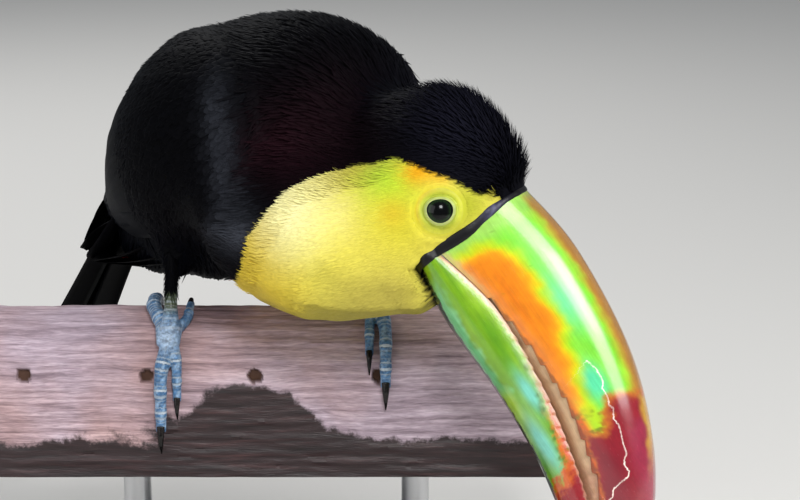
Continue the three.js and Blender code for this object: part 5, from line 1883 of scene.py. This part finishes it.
def wing_feather(side, root, tip, width, lift, widths, length=30):
    """A feather of the folded wing, from its root to its tip (along, across), on the skin's curve."""
    shares = np.linspace(0, 1, 7)
    places = [(root[0] + (tip[0] - root[0]) * s, root[1] + (tip[1] - root[1]) * s) for s in shares]
    middle = np.array([wing_point(along, across, side) for along, across in places])
    above = np.array([wing_point(along, across - 0.07, side) for along, across in places])
    below = np.array([wing_point(along, across + 0.07, side) for along, across in places])
    t = np.linspace(0, 1, length)
    line, sideways = spline(middle, t), spline(below - above, t)
    ahead = np.gradient(line, axis=0)
    ahead /= np.linalg.norm(ahead, axis=1)[:, None]
    sideways -= ahead * np.sum(sideways * ahead, 1)[:, None]
    sideways /= np.linalg.norm(sideways, axis=1)[:, None]
    up = np.cross(sideways, ahead) * side
    up *= np.sign(np.sum(up * (line - TRUNK_CENTRE / MM), 1).mean())
    rise = lift[0] + (lift[1] - lift[0]) * smoothstep(0.25, 0.9, t)
    return blade_feather(line + up * rise[:, None], sideways, up, width, widths, 0.9, 0.3, length, 7)


SECONDARIES, PRIMARIES = 9, 7
VANE_SHARES = [
    (0, 0.3, 0.3), (0.1, 0.75, 0.7), (0.35, 1.0, 0.95), (0.75, 1.05, 1.0), (0.9, 0.85, 0.85),
    (0.97, 0.5, 0.5), (1, 0.12, 0.12),
]
for side, name in ((1, "right"), (-1, "left")):
    wing = []
    for k in range(PRIMARIES):
        share = k / (PRIMARIES - 1)
        root = (0.56, 0.95 - 0.45 * share)
        tip = (0.86 + 0.06 * share, 1.0 - 0.5 * share)
        wing.append(wing_feather(side, root, tip, 12, (0.2 + 0.03 * k, 0.7 + 0.2 * k), VANE_SHARES))
    for k in range(SECONDARIES):
        share = k / (SECONDARIES - 1)
        root = (0.4, 0.95 - 0.86 * share)
        tip = (0.8 + 0.03 * math.sin(2.6 * share), 0.97 - 0.9 * share)
        wing.append(wing_feather(side, root, tip, 14, (0.1 + 0.03 * k, 2.1 + 0.2 * k), VANE_SHARES))
    joined_feathers(f"wing_feathers_{name}", wing, flight_colour, flight_web, "plumage_black")


COVERT_STEPS = 16


def tail_covert(aside, over):
    """A feather leading from the body over the tail's root, or under it if `over` is negative."""
    above = TAIL_ROOT / MM + np.array([17, 60 * over, aside]) @ TAIL
    hit = skin_surface.ray_cast(Vector(above * MM), Vector(-over * TAIL[1]))[0]
    root = np.array(hit) / MM if hit else TAIL_ROOT / MM + np.array([17, 8 * over, aside]) @ TAIL
    root = root - TAIL[1] * over * 1.6
    tip = np.array([-20 + 0.03 * aside**2, over * 3.0 - 0.009 * aside**2, 0.85 * aside])
    tip = TAIL_ROOT / MM + tip @ TAIL
    t = np.linspace(0, 1, COVERT_STEPS)[:, None]
    arched = root + (tip - root) * t + TAIL[1] * over * 2.0 * np.sin(math.pi * t) * (1 - 0.5 * t)
    side, up = (np.tile(way, (COVERT_STEPS, 1)) for way in (TAIL[2], TAIL[1] * over))
    return blade_feather(arched, side, up, 9, VANE_SHARES, 0.9, 0.3, COVERT_STEPS, 7)


def covert_colour(points, along, number):
    """White over the tail; under it black on the right and red on the left."""
    aside, over = COVERTS[number.astype(int)].T
    colour, brush = painter(points, "#08080b")
    brush("#e6e3d8", (over > 0) & (np.abs(aside + 2) < 7))
    brush("#8a1018", (over < 0) & (aside < -2))
    return colour


ASIDES = (-15, 15, -11, 11, -7.5, 7.5, -4, 4, 0)
COVERTS = np.array([(aside, over) for over in (1, -1) for aside in ASIDES], float)
tail_coverts = [tail_covert(aside, over) for aside, over in COVERTS]
joined_feathers("tail_coverts", tail_coverts, covert_colour, flight_web, "plumage_black")

# ---- Stage, light and camera ----
# Not part of the model: a pale floor, a soft key light like a window, and a dim wrap of light all round.

floor_tone, tree = material_named("pale_studio_floor")
surfaced(tree, {"Base Color": linear("#d9d7d3"), "Roughness": 0.9})
reach = 6.0
floor = object_from(
    "studio_floor",
    [(-reach, -reach, 0), (reach, -reach, 0), (reach, reach, 0), (-reach, reach, 0)],
    [(0, 1, 2, 3)],
    floor_tone,
)

world = bpy.data.worlds.new("studio_air")
world.use_nodes = True
world.node_tree.nodes["Background"].inputs["Color"].default_value = linear("#dfe4ea")
world.node_tree.nodes["Background"].inputs["Strength"].default_value = 0.36
bpy.context.scene.world = world


def softbox(name, place, aim, size, power):
    lamp = bpy.data.lights.new(name, "AREA")
    lamp.shape = "RECTANGLE"
    lamp.size, lamp.size_y = size
    lamp.energy = power
    holder = in_scene(name, lamp)
    holder.location = place
    holder.rotation_mode = "QUATERNION"
    holder.rotation_quaternion = (Vector(aim) - Vector(place)).to_track_quat("-Z", "Y")
    return holder


softbox("key_softbox", (0.2, -1.0, 0.95), (0.03, 0, 0.14), (0.3, 0.3), 8.4)
strip = softbox("strip_softbox", (0.67, -0.53, 0.54), (0.1, -0.07, 0.11), (0.4, 0.6), 5.0)
side_lamp = softbox("side_softbox", (0.75, -0.45, 0.59), (0.1, -0.07, 0.11), (0.34, 0.22), 1.5)
softbox("fill_softbox", (-0.9, -0.7, 0.6), (-0.02, 0, 0.17), (0.9, 0.9), 4.8)
softbox("back_softbox", (-0.5, 1.1, 1.2), (0, 0, 0.15), (0.8, 0.5), 10)
# The two lamps that draw the bill's long highlight leave the eyes with a single catchlight.
unlit = bpy.data.collections.new("no side light")
for side in ("right", "left"):
    unlit.objects.link(bpy.data.objects[f"eye_{side}_glass"])
for item in unlit.collection_objects:
    item.light_linking.link_state = "EXCLUDE"
for lamp in (strip, side_lamp):
    lamp.light_linking.receiver_collection = unlit

EYE_LINE = {"target": Vector((0.049, 0, 0.153)), "distance": 0.8, "elevation": math.radians(15)}
camera_data = bpy.data.cameras.new("camera")
camera_data.sensor_width = 36  # millimetres, as the lens below
camera_data.lens = 93.6
camera = in_scene("camera", camera_data)
away = Vector((0, -math.cos(EYE_LINE["elevation"]), math.sin(EYE_LINE["elevation"])))
camera.location = EYE_LINE["target"] + EYE_LINE["distance"] * away
camera.rotation_mode = "QUATERNION"
camera.rotation_quaternion = (-away).to_track_quat("-Z", "Y")
bpy.context.scene.camera = camera
bpy.context.scene.view_settings.view_transform = "Standard"
